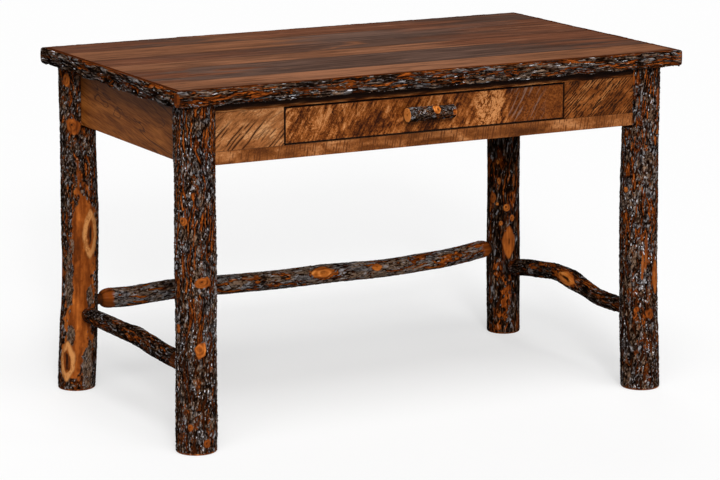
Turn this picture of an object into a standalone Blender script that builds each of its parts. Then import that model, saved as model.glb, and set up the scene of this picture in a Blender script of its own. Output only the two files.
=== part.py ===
"""Log desk: a plank top with a bark-edged trim on four notched log legs, with one inset drawer.

Metres, +Z up. The origin is on the floor under the middle of the top. The front faces -Y.
"""

from collections import namedtuple
from math import cos, exp, pi, radians, sin

import bmesh
import bpy
from mathutils import Matrix, Vector

# Overall size
DESK_WIDTH = 1.219
DESK_DEPTH = 0.711
DESK_HEIGHT = 0.762

# Fits
FIT = 0.0003  # gap between pieces that touch
DRAWER_GAP = 0.002  # gap round the drawer front and play beside the drawer
KICKER_GAP = 0.003  # play above the drawer sides

# Top: boards from the back to the front, where the last one takes the depth that is left
TOP_THICKNESS = 0.035
BOARD_WIDTHS = (0.108, 0.125, 0.094, 0.090, 0.158)
TRIM_DEPTH = 0.017
TRIM_FLAT = 0.011  # planed top of the trim, up to where the bark starts
TRIM_WANDER = 0.003  # how far the bark's outline wanders in
CORNER_FLAT = 0.011  # strip sanded across each mitred corner

# Apron, a box under the top that the legs are notched round
OVERHANG_SIDE = 0.056
OVERHANG_FRONT = 0.0385
APRON_HEIGHT = 0.128
APRON_THICKNESS = 0.020
TOP_RAIL_HEIGHT = 0.020
BOTTOM_RAIL_HEIGHT = 0.0275
BLOCK_SIZE = 0.038
BLOCK_HEIGHT = 0.100
CLEAT_WIDTH = 0.025
CLEAT_HEIGHT = 0.022

# Legs
NOTCH_SIDE = 0.0115  # from the leg's centre out to the apron's side face
NOTCH_FRONT = 0.021  # from the leg's centre out to the apron's front or back face
SHELF_DROP = 0.007  # the notch's shelf lies this far under the apron
FOOT_CHAMFER = 0.005
LEG_SIDES = 20
LEG_RINGS = 16
LEG_SWELLS = 2.3  # thick places along a leg

# Lag bolts through the corner blocks and the side aprons into the legs
BOLT_DIAMETER = 0.008
BOLT_LENGTH = 0.076
BOLT_HEAD_WIDTH = 0.013
BOLT_HEAD_HEIGHT = 0.0053
BOLT_PITCH = 0.056
BOLT_EDGE = 0.011  # from the bolt's centre to the front or back board

# Stretchers
TENON_LENGTH = 0.028
SHOULDER_LENGTH = 0.022
SHOULDER_RINGS = (0, 0.15, 0.5)  # shares of the shoulder's length, before its full thickness
STRETCHER_SIDES = 16
STRETCHER_STEP = 0.040  # run between the rings of a stretcher
KNOT_REACH = 0.07  # share of a stretcher's run that a knot swells

# Drawer
OPENING_WIDTH = 0.676
OPENING_MIDDLE = -0.011  # the opening lies this far off the middle of the desk
DRAWER_LENGTH = 0.500
DRAWER_TRAVEL = 0.360
DRAWER_FRONT_THICKNESS = 0.020
SIDE_THICKNESS = 0.012
BACK_THICKNESS = 0.012
BACK_INSET = 0.010  # from the drawer back to the rear ends of the sides
BACK_DROP = 0.006  # the drawer back lies this far under the tops of the sides
BOTTOM_THICKNESS = 0.006
GROOVE_DEPTH = 0.006
GROOVE_RISE = 0.010  # from the lower edge of the drawer sides
DADO_DEPTH = 0.004
TAILS = 2
TAIL_NECK = 0.022
TAIL_TIP = 0.026
TAIL_LAP = 0.006  # drawer front left in front of the tails
FRONT_EASING = 0.0008

# What the drawer slides on
RUNNER_LIP = 0.008  # the runner reaches this far inside the drawer side
GUIDE_THICKNESS = 0.020
GUIDE_HEIGHT = 0.040
KICKER_WIDTH = 0.028
KICKER_CLEAR = 0.002
STOP_LENGTH = 0.022
STOP_HEIGHT = 0.020
CATCH_THICKNESS = 0.012
CATCH_LENGTH = 0.020
CATCH_RISE = 0.010  # above the drawer opening
CATCH_HOLD = 0.045  # glued length on the drawer side
CATCH_GAP = 0.001

# Pull, a twig on two posts
PULL_LENGTH = 0.112
PULL_SHIFT = -0.006  # off the middle of the drawer opening
PULL_DIAMETER = 0.031
PULL_TAPER = 0.10
PULL_SWELL = 0.03
PULL_RISE = 0.004  # above the middle of the drawer opening
PULL_STANDOFF = 0.007
PULL_SIDES = 20
PULL_RINGS = 8
POST_DIAMETER = 0.014
POST_SPACING = 0.066
POST_SEAT = 0.003  # how deep a post is let into the twig
SCREW_DIAMETER = 0.0046
SCREW_BITE = 0.010  # screw in the twig beyond the post
SCREW_HEAD_WIDTH = 0.009
SCREW_HEAD_HEIGHT = 0.0028

MORTISE_SIDES = 24
FASTENER_SIDES = 12
OVERCUT = 0.02  # cutters reach this far past what they cut
WELD = 0.00001

# Legs: side -1 left or 1 right, end -1 front or 1 rear, shift of the whole leg along X, diameter, taper to
# the top as a share of the diameter, lean of the foot along X, bow along X, swell as a share of the radius,
# and the swell's phase.
Leg = namedtuple("Leg", "name side end shift diameter taper lean bow swell phase")
LEGS = (
    Leg("leg_front_left", -1, -1, 0.000, 0.0865, 0.01, -0.003, 0.000, 0.015, 0.4),
    Leg("leg_front_right", 1, -1, -0.004, 0.0850, 0.06, 0.013, -0.002, 0.012, 6.0),
    Leg("leg_rear_left", -1, 1, -0.004, 0.0825, 0.05, -0.015, 0.003, 0.020, 6.1),
    Leg("leg_rear_right", 1, 1, 0.0045, 0.0785, 0.06, 0.0045, 0.000, 0.015, 4.2),
)

# Stretchers: the legs at both ends, the height of each tenon and the length of it that shows, the tenon's
# diameter, the log's diameter and taper, its route as (share of the run, rise, sideways bend), and its knots
# and waists as (share of the run, swell).
Stretcher = namedtuple(
    "Stretcher", "name legs heights shown tenon diameter taper route knots"
)
STRETCHERS = (
    Stretcher(
        "stretcher_rear",
        ("leg_rear_left", "leg_rear_right"),
        (0.195, 0.2065),
        (0.009, 0.002),
        0.025,
        0.0445,
        0.07,
        (
            (0.05, -0.0020, 0.001),
            (0.16, 0.0020, 0.004),
            (0.31, -0.0050, -0.002),
            (0.44, -0.0085, 0.001),
            (0.58, -0.0090, 0.004),
            (0.72, -0.0135, 0.005),
            (0.82, -0.0135, -0.002),
            (0.90, -0.0105, -0.001),
            (0.95, -0.0060, 0.000),
        ),
        ((0.55, 0.03), (0.72, -0.03)),
    ),
    Stretcher(
        "stretcher_left",
        ("leg_rear_left", "leg_front_left"),
        (0.1755, 0.178),
        (0.003, 0.004),
        0.022,
        0.038,
        -0.10,
        (
            (0.20, 0.004, 0.003),
            (0.40, 0.003, -0.003),
            (0.52, 0.005, -0.004),
            (0.78, 0.000, -0.002),
        ),
        ((0.52, 0.08), (0.68, 0.07)),
    ),
    Stretcher(
        "stretcher_right",
        ("leg_rear_right", "leg_front_right"),
        (0.169, 0.171),
        (0.003, 0.003),
        0.022,
        0.039,
        0.12,
        (
            (0.10, 0.008, 0.000),
            (0.25, 0.017, 0.005),
            (0.40, 0.0245, 0.006),
            (0.54, 0.018, 0.002),
            (0.64, 0.007, -0.003),
            (0.75, -0.003, -0.005),
            (0.88, -0.003, -0.002),
        ),
        ((0.54, 0.18),),
    ),
)

# Finishes: colour, roughness, metallic
FINISHES = {
    "bark": ((0.050, 0.036, 0.030), 0.45, 0.0),
    "top_wood": ((0.150, 0.066, 0.036), 0.35, 0.0),
    "apron_wood": ((0.270, 0.125, 0.050), 0.50, 0.0),
    "drawer_front_wood": ((0.290, 0.135, 0.055), 0.45, 0.0),
    "inner_wood": ((0.480, 0.340, 0.200), 0.60, 0.0),
    "drawer_box_wood": ((0.560, 0.420, 0.260), 0.50, 0.0),
    "steel": ((0.560, 0.560, 0.570), 0.35, 1.0),
}

# Sizes that follow from the ones above
UNDERSIDE = DESK_HEIGHT - TOP_THICKNESS
APRON_TOP = UNDERSIDE - FIT
APRON_BOTTOM = UNDERSIDE - APRON_HEIGHT
SLAB_X = DESK_WIDTH / 2 - TRIM_DEPTH
SLAB_Y = DESK_DEPTH / 2 - TRIM_DEPTH
BOX_X = DESK_WIDTH / 2 - OVERHANG_SIDE
BOX_Y = DESK_DEPTH / 2 - OVERHANG_FRONT
INNER_X = BOX_X - APRON_THICKNESS
INNER_Y = BOX_Y - APRON_THICKNESS
LEG_X = BOX_X - NOTCH_SIDE
LEG_Y = BOX_Y - NOTCH_FRONT
LEG_LENGTH = UNDERSIDE - FIT
SHELF_HEIGHT = APRON_BOTTOM - SHELF_DROP
OPENING_X = OPENING_WIDTH / 2
OPENING_LOW = APRON_BOTTOM + BOTTOM_RAIL_HEIGHT
OPENING_HIGH = UNDERSIDE - TOP_RAIL_HEIGHT
DRAWER_X = OPENING_X - DRAWER_GAP
SIDE_INNER = DRAWER_X - SIDE_THICKNESS
SIDE_LOW = OPENING_LOW + FIT
SIDE_HIGH = OPENING_HIGH - KICKER_GAP
FRONT_BACK = DRAWER_FRONT_THICKNESS - BOX_Y
DRAWER_REAR = DRAWER_LENGTH - BOX_Y
GROOVE_LOW = SIDE_LOW + GROOVE_RISE
GROOVE_HIGH = GROOVE_LOW + BOTTOM_THICKNESS + 2 * FIT
PULL_X = OPENING_MIDDLE + PULL_SHIFT
PULL_HEIGHT = (OPENING_LOW + OPENING_HIGH) / 2 + PULL_RISE
PULL_Y = -BOX_Y - PULL_STANDOFF - PULL_DIAMETER / 2
POST_END = -BOX_Y - PULL_STANDOFF - POST_SEAT

AXES = (Vector((1, 0, 0)), Vector((0, 1, 0)), Vector((0, 0, 1)))


def clear_scene():
    for obj in list(bpy.data.objects):
        bpy.data.objects.remove(obj)


def new_collection(name):
    collection = bpy.data.collections.new(name)
    bpy.context.scene.collection.children.link(collection)
    return collection


def finish(name):
    """The material of a finish, made when it is first asked for."""
    if name in bpy.data.materials:
        return bpy.data.materials[name]
    colour, roughness, metallic = FINISHES[name]
    material = bpy.data.materials.new(name)
    material.use_nodes = True
    shader = material.node_tree.nodes["Principled BSDF"]
    shader.inputs["Base Color"].default_value = (*colour, 1)
    shader.inputs["Roughness"].default_value = roughness
    shader.inputs["Metallic"].default_value = metallic
    return material


def add_part(name, mesh, finish_name, location, parent=None):
    """Put a piece in the desk at a place in the room, carried by its parent if it has one."""
    obj = bpy.data.objects.new(name, mesh)
    obj.location = location
    if parent:
        obj.parent = parent
        obj.location -= parent.location
    mesh.materials.clear()
    mesh.materials.append(finish(finish_name))
    parts.objects.link(obj)
    return obj


def add_cutter(name, mesh, location=(0, 0, 0)):
    obj = bpy.data.objects.new(name, mesh)
    obj.location = location
    obj.hide_render = True
    obj.display_type = "WIRE"
    cutters.objects.link(obj)
    return obj


def combine(obj, other, operation):
    modifier = obj.modifiers.new(other.name, "BOOLEAN")
    modifier.operation = operation
    modifier.solver = "EXACT"
    modifier.object = other


def evaluated_mesh(obj):
    """A welded mesh of an object with its modifiers, facing outwards."""
    graph = bpy.context.evaluated_depsgraph_get()
    mesh = bpy.data.meshes.new_from_object(obj.evaluated_get(graph))
    bm = bmesh.new()
    bm.from_mesh(mesh)
    bmesh.ops.remove_doubles(bm, verts=bm.verts, dist=WELD)
    bmesh.ops.recalc_face_normals(bm, faces=bm.faces)
    bm.to_mesh(mesh)
    bm.free()
    return mesh


def mesh_from_curve(curve):
    guide = bpy.data.objects.new(curve.name, curve)
    cutters.objects.link(guide)
    mesh = evaluated_mesh(guide)
    bpy.data.objects.remove(guide)
    return mesh


def box_mesh(name, size):
    mesh = bpy.data.meshes.new(name)
    bm = bmesh.new()
    bmesh.ops.create_cube(bm, size=1)
    bmesh.ops.scale(bm, vec=size, verts=bm.verts)
    bm.to_mesh(mesh)
    bm.free()
    return mesh


def middle_and_size(corner, opposite):
    low = Vector(map(min, corner, opposite))
    high = Vector(map(max, corner, opposite))
    return (low + high) / 2, high - low


def board(name, corner, opposite, finish_name, parent=None):
    """A squared board between two opposite corners."""
    middle, size = middle_and_size(corner, opposite)
    return add_part(name, box_mesh(name, size), finish_name, middle, parent)


def cut_box(obj, name, corner, opposite):
    middle, size = middle_and_size(corner, opposite)
    combine(obj, add_cutter(name, box_mesh(name, size), middle), "DIFFERENCE")


def rod_mesh(name, start, end, diameter, sides):
    """A round or many-sided rod between two points."""
    run = end - start
    turn = run.to_track_quat("Z", "Y").to_matrix().to_4x4()
    mesh = bpy.data.meshes.new(name)
    bm = bmesh.new()
    bmesh.ops.create_cone(
        bm,
        cap_ends=True,
        segments=sides,
        radius1=diameter / 2,
        radius2=diameter / 2,
        depth=run.length,
        matrix=Matrix.Translation((start + end) / 2) @ turn,
    )
    bm.to_mesh(mesh)
    bm.free()
    return mesh


def bore(obj, name, start, end, diameter, sides):
    """A round hole through or into a piece."""
    mesh = rod_mesh(name, start, end, diameter, sides)
    combine(obj, add_cutter(name, mesh), "DIFFERENCE")


def plate_mesh(name, outline, thickness):
    """A flat outline given a thickness, standing in the YZ plane with its middle on x = 0."""
    curve = bpy.data.curves.new(name, "CURVE")
    curve.dimensions = "2D"
    curve.fill_mode = "BOTH"
    curve.extrude = thickness / 2
    spline = curve.splines.new("POLY")
    spline.points.add(len(outline) - 1)
    for spot, (y, z) in zip(spline.points, outline):
        spot.co = (y, z, 0, 1)
    spline.use_cyclic_u = True
    mesh = mesh_from_curve(curve)
    mesh.transform(Matrix((AXES[1], AXES[2], AXES[0])).transposed().to_4x4())
    return mesh


def log_mesh(name, points, radii, sides):
    """A log along a line of points, with its radius at each of them and flat ends."""
    curve = bpy.data.curves.new(name, "CURVE")
    curve.dimensions = "3D"
    curve.bevel_depth = 1
    curve.bevel_resolution = (sides - 4) // 2
    curve.use_fill_caps = True
    spline = curve.splines.new("POLY")
    spline.points.add(len(points) - 1)
    for spot, point, radius in zip(spline.points, points, radii):
        spot.co = (*point, 1)
        spot.radius = radius
    mesh = mesh_from_curve(curve)
    mesh.shade_smooth()
    mesh.set_sharp_from_angle(angle=radians(40))
    return mesh


def through(stops, share):
    """A smooth line through (share, value) stops: a cubic between two stops, level with their neighbours."""
    last = len(stops) - 1
    at = max(i for i in range(last) if i == 0 or stops[i][0] <= share)
    slopes = []
    for i in (at, at + 1):
        before, after = stops[max(i - 1, 0)], stops[min(i + 1, last)]
        slopes.append((after[1] - before[1]) / (after[0] - before[0]))
    run = stops[at + 1][0] - stops[at][0]
    t = (share - stops[at][0]) / run
    start, end = stops[at][1], stops[at + 1][1]
    return (
        (1 + 2 * t) * (1 - t) ** 2 * start
        + t * (1 - t) ** 2 * run * slopes[0]
        + t**2 * (3 - 2 * t) * end
        + t**2 * (t - 1) * run * slopes[1]
    )


def beside_drawer(offset):
    """X of a place that lies this far from the middle of the drawer opening."""
    return OPENING_MIDDLE + offset


def build_top_boards():
    back = SLAB_Y
    for number, width in enumerate((*BOARD_WIDTHS, None), 1):
        front = back - width if width else -SLAB_Y
        board(
            f"top_board_{number}",
            (FIT - SLAB_X, front + FIT / 2, UNDERSIDE),
            (SLAB_X - FIT, back - FIT / 2, DESK_HEIGHT),
            "top_wood",
        )
        back = front


def trim_profile(wander):
    """Half-log section as (outward, up from its middle): flat back, top and bottom, round bark side."""
    flat = TRIM_FLAT - wander / 2
    bulge = TRIM_DEPTH - wander - flat
    half = TOP_THICKNESS / 2
    arc = [pi / 2 - pi * i / 8 for i in range(9)]
    bark = [(flat + bulge * cos(a), half * sin(a)) for a in arc]
    return [(0, half), *bark, (0, -half)]


def build_trim(name, run, edge, quarter, stations, phase):
    """A half log along one edge of the boards, mitred at both ends and with its sharp corners sanded off."""
    bm = bmesh.new()
    rings = []
    for i in range(stations + 1):
        share = 2 * i / stations - 1
        wave = 0.5 + 0.3 * sin(9 * share + phase) + 0.2 * sin(23 * share + 2 * phase)
        profile = trim_profile(TRIM_WANDER * wave * (1 - share**6))
        rings.append(
            [bm.verts.new((share * (run + u - FIT), -edge - u, z)) for u, z in profile]
        )
    for ring, following in zip(rings, rings[1:]):
        for k in range(len(ring)):
            bm.faces.new((ring[k - 1], ring[k], following[k], following[k - 1]))
    bm.faces.new(rings[0])
    bm.faces.new(reversed(rings[-1]))
    for side in (-1, 1):
        corner = Vector((side * (run + TRIM_DEPTH), -edge - TRIM_DEPTH, 0))
        outwards = Vector((side, -1, 0)).normalized()
        bmesh.ops.bisect_plane(
            bm,
            geom=[*bm.verts, *bm.edges, *bm.faces],
            dist=WELD,
            plane_co=corner - outwards * CORNER_FLAT / 2,
            plane_no=outwards,
            clear_outer=True,
        )
        open_edges = [edge for edge in bm.edges if edge.is_boundary]
        bmesh.ops.holes_fill(bm, edges=open_edges)
    bmesh.ops.recalc_face_normals(bm, faces=bm.faces)
    mesh = bpy.data.meshes.new(name)
    bm.to_mesh(mesh)
    bm.free()
    trim = add_part(name, mesh, "bark", (0, 0, DESK_HEIGHT - TOP_THICKNESS / 2))
    trim.rotation_euler.z = quarter * pi / 2


def build_trims():
    build_trim("trim_front", SLAB_X, SLAB_Y, 0, 36, 0.3)
    build_trim("trim_right", SLAB_Y, SLAB_X, 1, 22, 1.7)
    build_trim("trim_back", SLAB_X, SLAB_Y, 2, 36, 2.9)
    build_trim("trim_left", SLAB_Y, SLAB_X, 3, 22, 4.4)


def build_apron():
    """The boards of the apron: rails and panels at the front, whole boards at the sides and back."""
    seam = FIT / 2
    for name, low, high in (
        ("front_bottom_rail", APRON_BOTTOM, OPENING_LOW - seam),
        ("front_top_rail", OPENING_HIGH + seam, APRON_TOP),
    ):
        board(name, (-BOX_X, -BOX_Y, low), (BOX_X, -INNER_Y, high), "apron_wood")
    board("back_apron", (-BOX_X, BOX_Y, APRON_BOTTOM), (BOX_X, INNER_Y, APRON_TOP), "apron_wood")
    for side, word in ((-1, "left"), (1, "right")):
        board(
            f"front_{word}_panel",
            (side * BOX_X, -BOX_Y, OPENING_LOW + seam),
            (beside_drawer(side * OPENING_X), -INNER_Y, OPENING_HIGH - seam),
            "apron_wood",
        )
        apron = board(
            f"{word}_apron",
            (side * BOX_X, FIT - INNER_Y, APRON_BOTTOM),
            (side * INNER_X, INNER_Y - FIT, APRON_TOP),
            "apron_wood",
        )
        for leg in LEGS:
            if leg.side == side:
                bore_for_bolts(apron, leg)
        reach = INNER_Y - BLOCK_SIZE - 3 * FIT
        board(
            f"top_cleat_{word}",
            (side * (INNER_X - FIT), -reach, APRON_TOP - CLEAT_HEIGHT),
            (side * (INNER_X - FIT - CLEAT_WIDTH), reach, APRON_TOP),
            "inner_wood",
        )


def bolt_line(leg, number):
    """Start under the bolt's head and the tip of one of the leg's two bolts."""
    start = Vector(
        (
            leg.side * (INNER_X - BLOCK_SIZE - 2 * FIT),
            leg.end * (INNER_Y - BOLT_EDGE),
            APRON_TOP - BLOCK_HEIGHT / 2 + (number - 0.5) * BOLT_PITCH,
        )
    )
    return start, start + Vector((leg.side * BOLT_LENGTH, 0, 0))


def bore_for_bolts(obj, leg):
    for number in (0, 1):
        start, tip = bolt_line(leg, number)
        outwards = Vector((leg.side, 0, 0))
        bore(
            obj,
            f"{obj.name}_{leg.name}_bolt_{number}",
            start - outwards * OVERCUT,
            tip + outwards * FIT,
            BOLT_DIAMETER + 2 * FIT,
            FASTENER_SIDES,
        )


def fastener_mesh(name, length, diameter, head_width, head_height, head_sides):
    """A bolt or screw along +X, with the underside of its head at x = 0."""
    shank = rod_mesh(
        name, AXES[0] * -head_height / 2, AXES[0] * length, diameter, FASTENER_SIDES
    )
    head = rod_mesh(
        name + "_head", AXES[0] * -head_height, Vector(), head_width, head_sides
    )
    whole = add_cutter(name + "_whole", shank)
    combine(whole, add_cutter(name + "_head", head), "UNION")
    return evaluated_mesh(whole)


def build_corner_blocks():
    """Square blocks in the corners of the apron, and the bolts that pull the legs against it."""
    across_corners = BOLT_HEAD_WIDTH / cos(pi / 6)
    bolt = fastener_mesh(
        "bolt", BOLT_LENGTH, BOLT_DIAMETER, across_corners, BOLT_HEAD_HEIGHT, 6
    )
    for leg in LEGS:
        place = leg.name.removeprefix("leg_")
        x = INNER_X - FIT
        y = INNER_Y - 2 * FIT
        block = board(
            f"corner_block_{place}",
            (leg.side * x, leg.end * y, APRON_TOP - BLOCK_HEIGHT),
            (leg.side * (x - BLOCK_SIZE), leg.end * (y - BLOCK_SIZE), APRON_TOP),
            "inner_wood",
        )
        bore_for_bolts(block, leg)
        for number, word in ((0, "lower"), (1, "upper")):
            start = bolt_line(leg, number)[0] - Vector((leg.side * FIT, 0, 0))
            placed = add_part(f"leg_bolt_{place}_{word}", bolt, "steel", start)
            placed.rotation_euler.z = 0 if leg.side > 0 else pi


def leg_centre(leg, height):
    """The leg's middle at a height: plumb above its shelf, leaning and bowing below it."""
    fall = max(0, 1 - height / SHELF_HEIGHT)
    x = leg.side * LEG_X + leg.shift + leg.lean * fall**2 + leg.bow * sin(pi * fall) ** 2
    return Vector((x, leg.end * LEG_Y, height))


def leg_radius(leg, height):
    share = height / LEG_LENGTH
    wave = sin(LEG_SWELLS * 2 * pi * share + leg.phase)
    return leg.diameter / 2 * (1 + leg.taper * (0.5 - share) + leg.swell * wave)


def build_legs():
    """Logs with chamfered feet, notched at the top round the corners of the apron."""
    legs = {}
    for leg in LEGS:
        step = (LEG_LENGTH - FOOT_CHAMFER) / LEG_RINGS
        heights = [FOOT_CHAMFER + step * i for i in range(LEG_RINGS + 1)]
        radii = [leg_radius(leg, height) for height in heights]
        foot = leg_centre(leg, FOOT_CHAMFER)
        foot.z = 0
        points = [leg_centre(leg, height) - foot for height in heights]
        points.insert(0, Vector())
        radii.insert(0, radii[0] - FOOT_CHAMFER)
        mesh = log_mesh(leg.name, points, radii, LEG_SIDES)
        obj = add_part(leg.name, mesh, "bark", foot)
        cut_box(
            obj,
            f"{leg.name}_notch",
            (leg.side * (BOX_X + FIT), leg.end * (BOX_Y + FIT), SHELF_HEIGHT),
            (
                leg.side * (LEG_X - leg.diameter) + leg.shift,
                leg.end * (LEG_Y - leg.diameter),
                LEG_LENGTH + OVERCUT,
            ),
        )
        bore_for_bolts(obj, leg)
        legs[leg.name] = obj
    return legs


def stretcher_seats(stretcher):
    """Where the stretcher's two tenons enter the legs, and the direction from the first to the second."""
    first, second = (
        next(leg for leg in LEGS if leg.name == name) for name in stretcher.legs
    )
    run = Vector((second.side - first.side, second.end - first.end, 0)).normalized()
    low, high = stretcher.heights
    start = leg_centre(first, low) + run * leg_radius(first, low)
    end = leg_centre(second, high) - run * leg_radius(second, high)
    return start, end, run


def stretcher_radius(stretcher, share):
    swell = sum(
        size * exp(-(((share - place) / KNOT_REACH) ** 2))
        for place, size in stretcher.knots
    )
    return stretcher.diameter / 2 * (1 + stretcher.taper * (0.5 - share) + swell)


def shoulder_radius(stretcher, crown, share):
    """Radius of the domed shoulder, a quarter of an ellipse from the tenon up to the log."""
    tenon = stretcher.tenon / 2
    return tenon + (crown - tenon) * (1 - (1 - share) ** 2) ** 0.5


def build_stretchers(legs):
    """Crooked logs whose ends are cut down to round tenons, and the mortises for them in the legs."""
    for stretcher in STRETCHERS:
        start, end, run = stretcher_seats(stretcher)
        across = run.cross(AXES[2])
        dome = run * SHOULDER_LENGTH
        root = start + run * stretcher.shown[0]
        far_root = end - run * stretcher.shown[1]
        crown, far_crown = root + dome, far_root - dome
        rises = [(0, 0), *((stop[0], stop[1]) for stop in stretcher.route), (1, 0)]
        bends = [(0, 0), *((stop[0], stop[2]) for stop in stretcher.route), (1, 0)]
        steps = round((far_crown - crown).length / STRETCHER_STEP)
        shares = [i / steps for i in range(steps + 1)]
        points = [
            crown.lerp(far_crown, share)
            + AXES[2] * through(rises, share)
            + across * through(bends, share)
            for share in shares
        ]
        radii = [stretcher_radius(stretcher, share) for share in shares]
        near = [shoulder_radius(stretcher, radii[0], share) for share in SHOULDER_RINGS]
        far = [shoulder_radius(stretcher, radii[-1], share) for share in SHOULDER_RINGS]
        depth = run * TENON_LENGTH
        points = [
            start - depth,
            *(root + dome * share for share in SHOULDER_RINGS),
            *points,
            *(far_root - dome * share for share in reversed(SHOULDER_RINGS)),
            end + depth,
        ]
        radii = [near[0], *near, *radii, *reversed(far), far[0]]
        middle = (start + end) / 2
        mesh = log_mesh(
            stretcher.name, [point - middle for point in points], radii, STRETCHER_SIDES
        )
        add_part(stretcher.name, mesh, "bark", middle)
        for name, mouth, inwards in zip(stretcher.legs, (start, end), (-run, run)):
            bore(
                legs[name],
                f"{name}_{stretcher.name}_mortise",
                mouth - inwards * OVERCUT,
                mouth + inwards * (TENON_LENGTH + FIT),
                stretcher.tenon + 2 * FIT,
                MORTISE_SIDES,
            )


def build_slides():
    """What carries and keeps the drawer: runners, guides, kickers and stops."""
    front, back = FIT - INNER_Y, INNER_Y - FIT
    for side, word in ((-1, "left"), (1, "right")):
        board(
            f"drawer_runner_{word}",
            (beside_drawer(side * (SIDE_INNER - RUNNER_LIP)), front, APRON_BOTTOM),
            (beside_drawer(side * (OPENING_X + GUIDE_THICKNESS)), back, OPENING_LOW),
            "inner_wood",
        )
        board(
            f"drawer_guide_{word}",
            (beside_drawer(side * OPENING_X), front, OPENING_LOW + FIT),
            (
                beside_drawer(side * (OPENING_X + GUIDE_THICKNESS)),
                back,
                OPENING_LOW + GUIDE_HEIGHT,
            ),
            "inner_wood",
        )
        kicker = SIDE_INNER + KICKER_CLEAR
        board(
            f"drawer_kicker_{word}",
            (beside_drawer(side * kicker), front, OPENING_HIGH),
            (beside_drawer(side * (kicker + KICKER_WIDTH)), back, APRON_TOP),
            "inner_wood",
        )
        board(
            f"drawer_stop_{word}",
            (
                beside_drawer(side * (SIDE_INNER - RUNNER_LIP)),
                DRAWER_REAR + FIT,
                OPENING_LOW + FIT,
            ),
            (
                beside_drawer(side * (OPENING_X - FIT)),
                DRAWER_REAR + STOP_LENGTH,
                OPENING_LOW + STOP_HEIGHT,
            ),
            "inner_wood",
        )


def tail_outline(middle, grow, overcut):
    """A dovetail as (y, z) points from its neck to its tip and back, grown all round for a socket."""
    tip = TAIL_LAP - BOX_Y - grow
    neck = FRONT_BACK + FIT + overcut
    flare = (TAIL_TIP - TAIL_NECK) / 2 / (DRAWER_FRONT_THICKNESS - TAIL_LAP)
    near = TAIL_NECK / 2 + grow - flare * (neck - FRONT_BACK)
    far = TAIL_NECK / 2 + grow + flare * (FRONT_BACK - tip)
    return [
        (neck, middle - near),
        (tip, middle - far),
        (tip, middle + far),
        (neck, middle + near),
    ]


def tail_middles():
    pitch = (SIDE_HIGH - SIDE_LOW) / TAILS
    return [SIDE_LOW + pitch * (i + 0.5) for i in range(TAILS)]


def build_drawer_front(drawer):
    front = board(
        "drawer_front",
        (beside_drawer(-DRAWER_X), -BOX_Y, OPENING_LOW + DRAWER_GAP),
        (beside_drawer(DRAWER_X), FRONT_BACK, OPENING_HIGH - DRAWER_GAP),
        "drawer_front_wood",
        drawer,
    )
    easing = front.modifiers.new("eased_edges", "BEVEL")
    easing.width = FRONT_EASING
    easing.segments = 1
    for number, middle in enumerate(tail_middles()):
        for side in (-1, 1):
            inner, outer = SIDE_INNER - FIT, DRAWER_X + OVERCUT
            name = f"tail_socket_{number}_{side}"
            mesh = plate_mesh(name, tail_outline(middle, FIT, OVERCUT), outer - inner)
            middle_x = beside_drawer(side * (inner + outer) / 2)
            socket = add_cutter(name, mesh, (middle_x, 0, 0))
            combine(front, socket, "DIFFERENCE")
    groove = SIDE_INNER + GROOVE_DEPTH
    cut_box(
        front,
        "front_groove",
        (beside_drawer(-groove), FRONT_BACK - GROOVE_DEPTH, GROOVE_LOW),
        (beside_drawer(groove), FRONT_BACK + OVERCUT, GROOVE_HIGH),
    )
    for side in (-1, 1):
        start, tip = screw_line(side)
        bore(
            front,
            f"front_screw_{side}",
            start + AXES[1] * OVERCUT,
            tip,
            SCREW_DIAMETER + 2 * FIT,
            FASTENER_SIDES,
        )


def build_drawer_side(side, word, drawer):
    """A drawer side with dovetails at its front end, a groove for the bottom and a dado for the back."""
    shoulder = FRONT_BACK + FIT
    tails = [point for z in tail_middles() for point in tail_outline(z, 0, 0)]
    outline = [
        (DRAWER_REAR, SIDE_LOW),
        (shoulder, SIDE_LOW),
        *tails,
        (shoulder, SIDE_HIGH),
        (DRAWER_REAR, SIDE_HIGH),
    ]
    middle = beside_drawer(side * (SIDE_INNER + SIDE_THICKNESS / 2))
    name = f"drawer_side_{word}"
    mesh = plate_mesh(name, outline, SIDE_THICKNESS)
    obj = add_part(name, mesh, "drawer_box_wood", (middle, 0, 0), drawer)
    inner = beside_drawer(side * (SIDE_INNER - OVERCUT))
    cut_box(
        obj,
        f"{name}_groove",
        (inner, -BOX_Y - OVERCUT, GROOVE_LOW),
        (beside_drawer(side * (SIDE_INNER + GROOVE_DEPTH)), DRAWER_REAR + OVERCUT, GROOVE_HIGH),
    )
    back = DRAWER_REAR - BACK_INSET
    cut_box(
        obj,
        f"{name}_dado",
        (inner, back - BACK_THICKNESS - FIT, (GROOVE_LOW + GROOVE_HIGH) / 2),
        (beside_drawer(side * (SIDE_INNER + DADO_DEPTH)), back + FIT, SIDE_HIGH + OVERCUT),
    )


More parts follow.
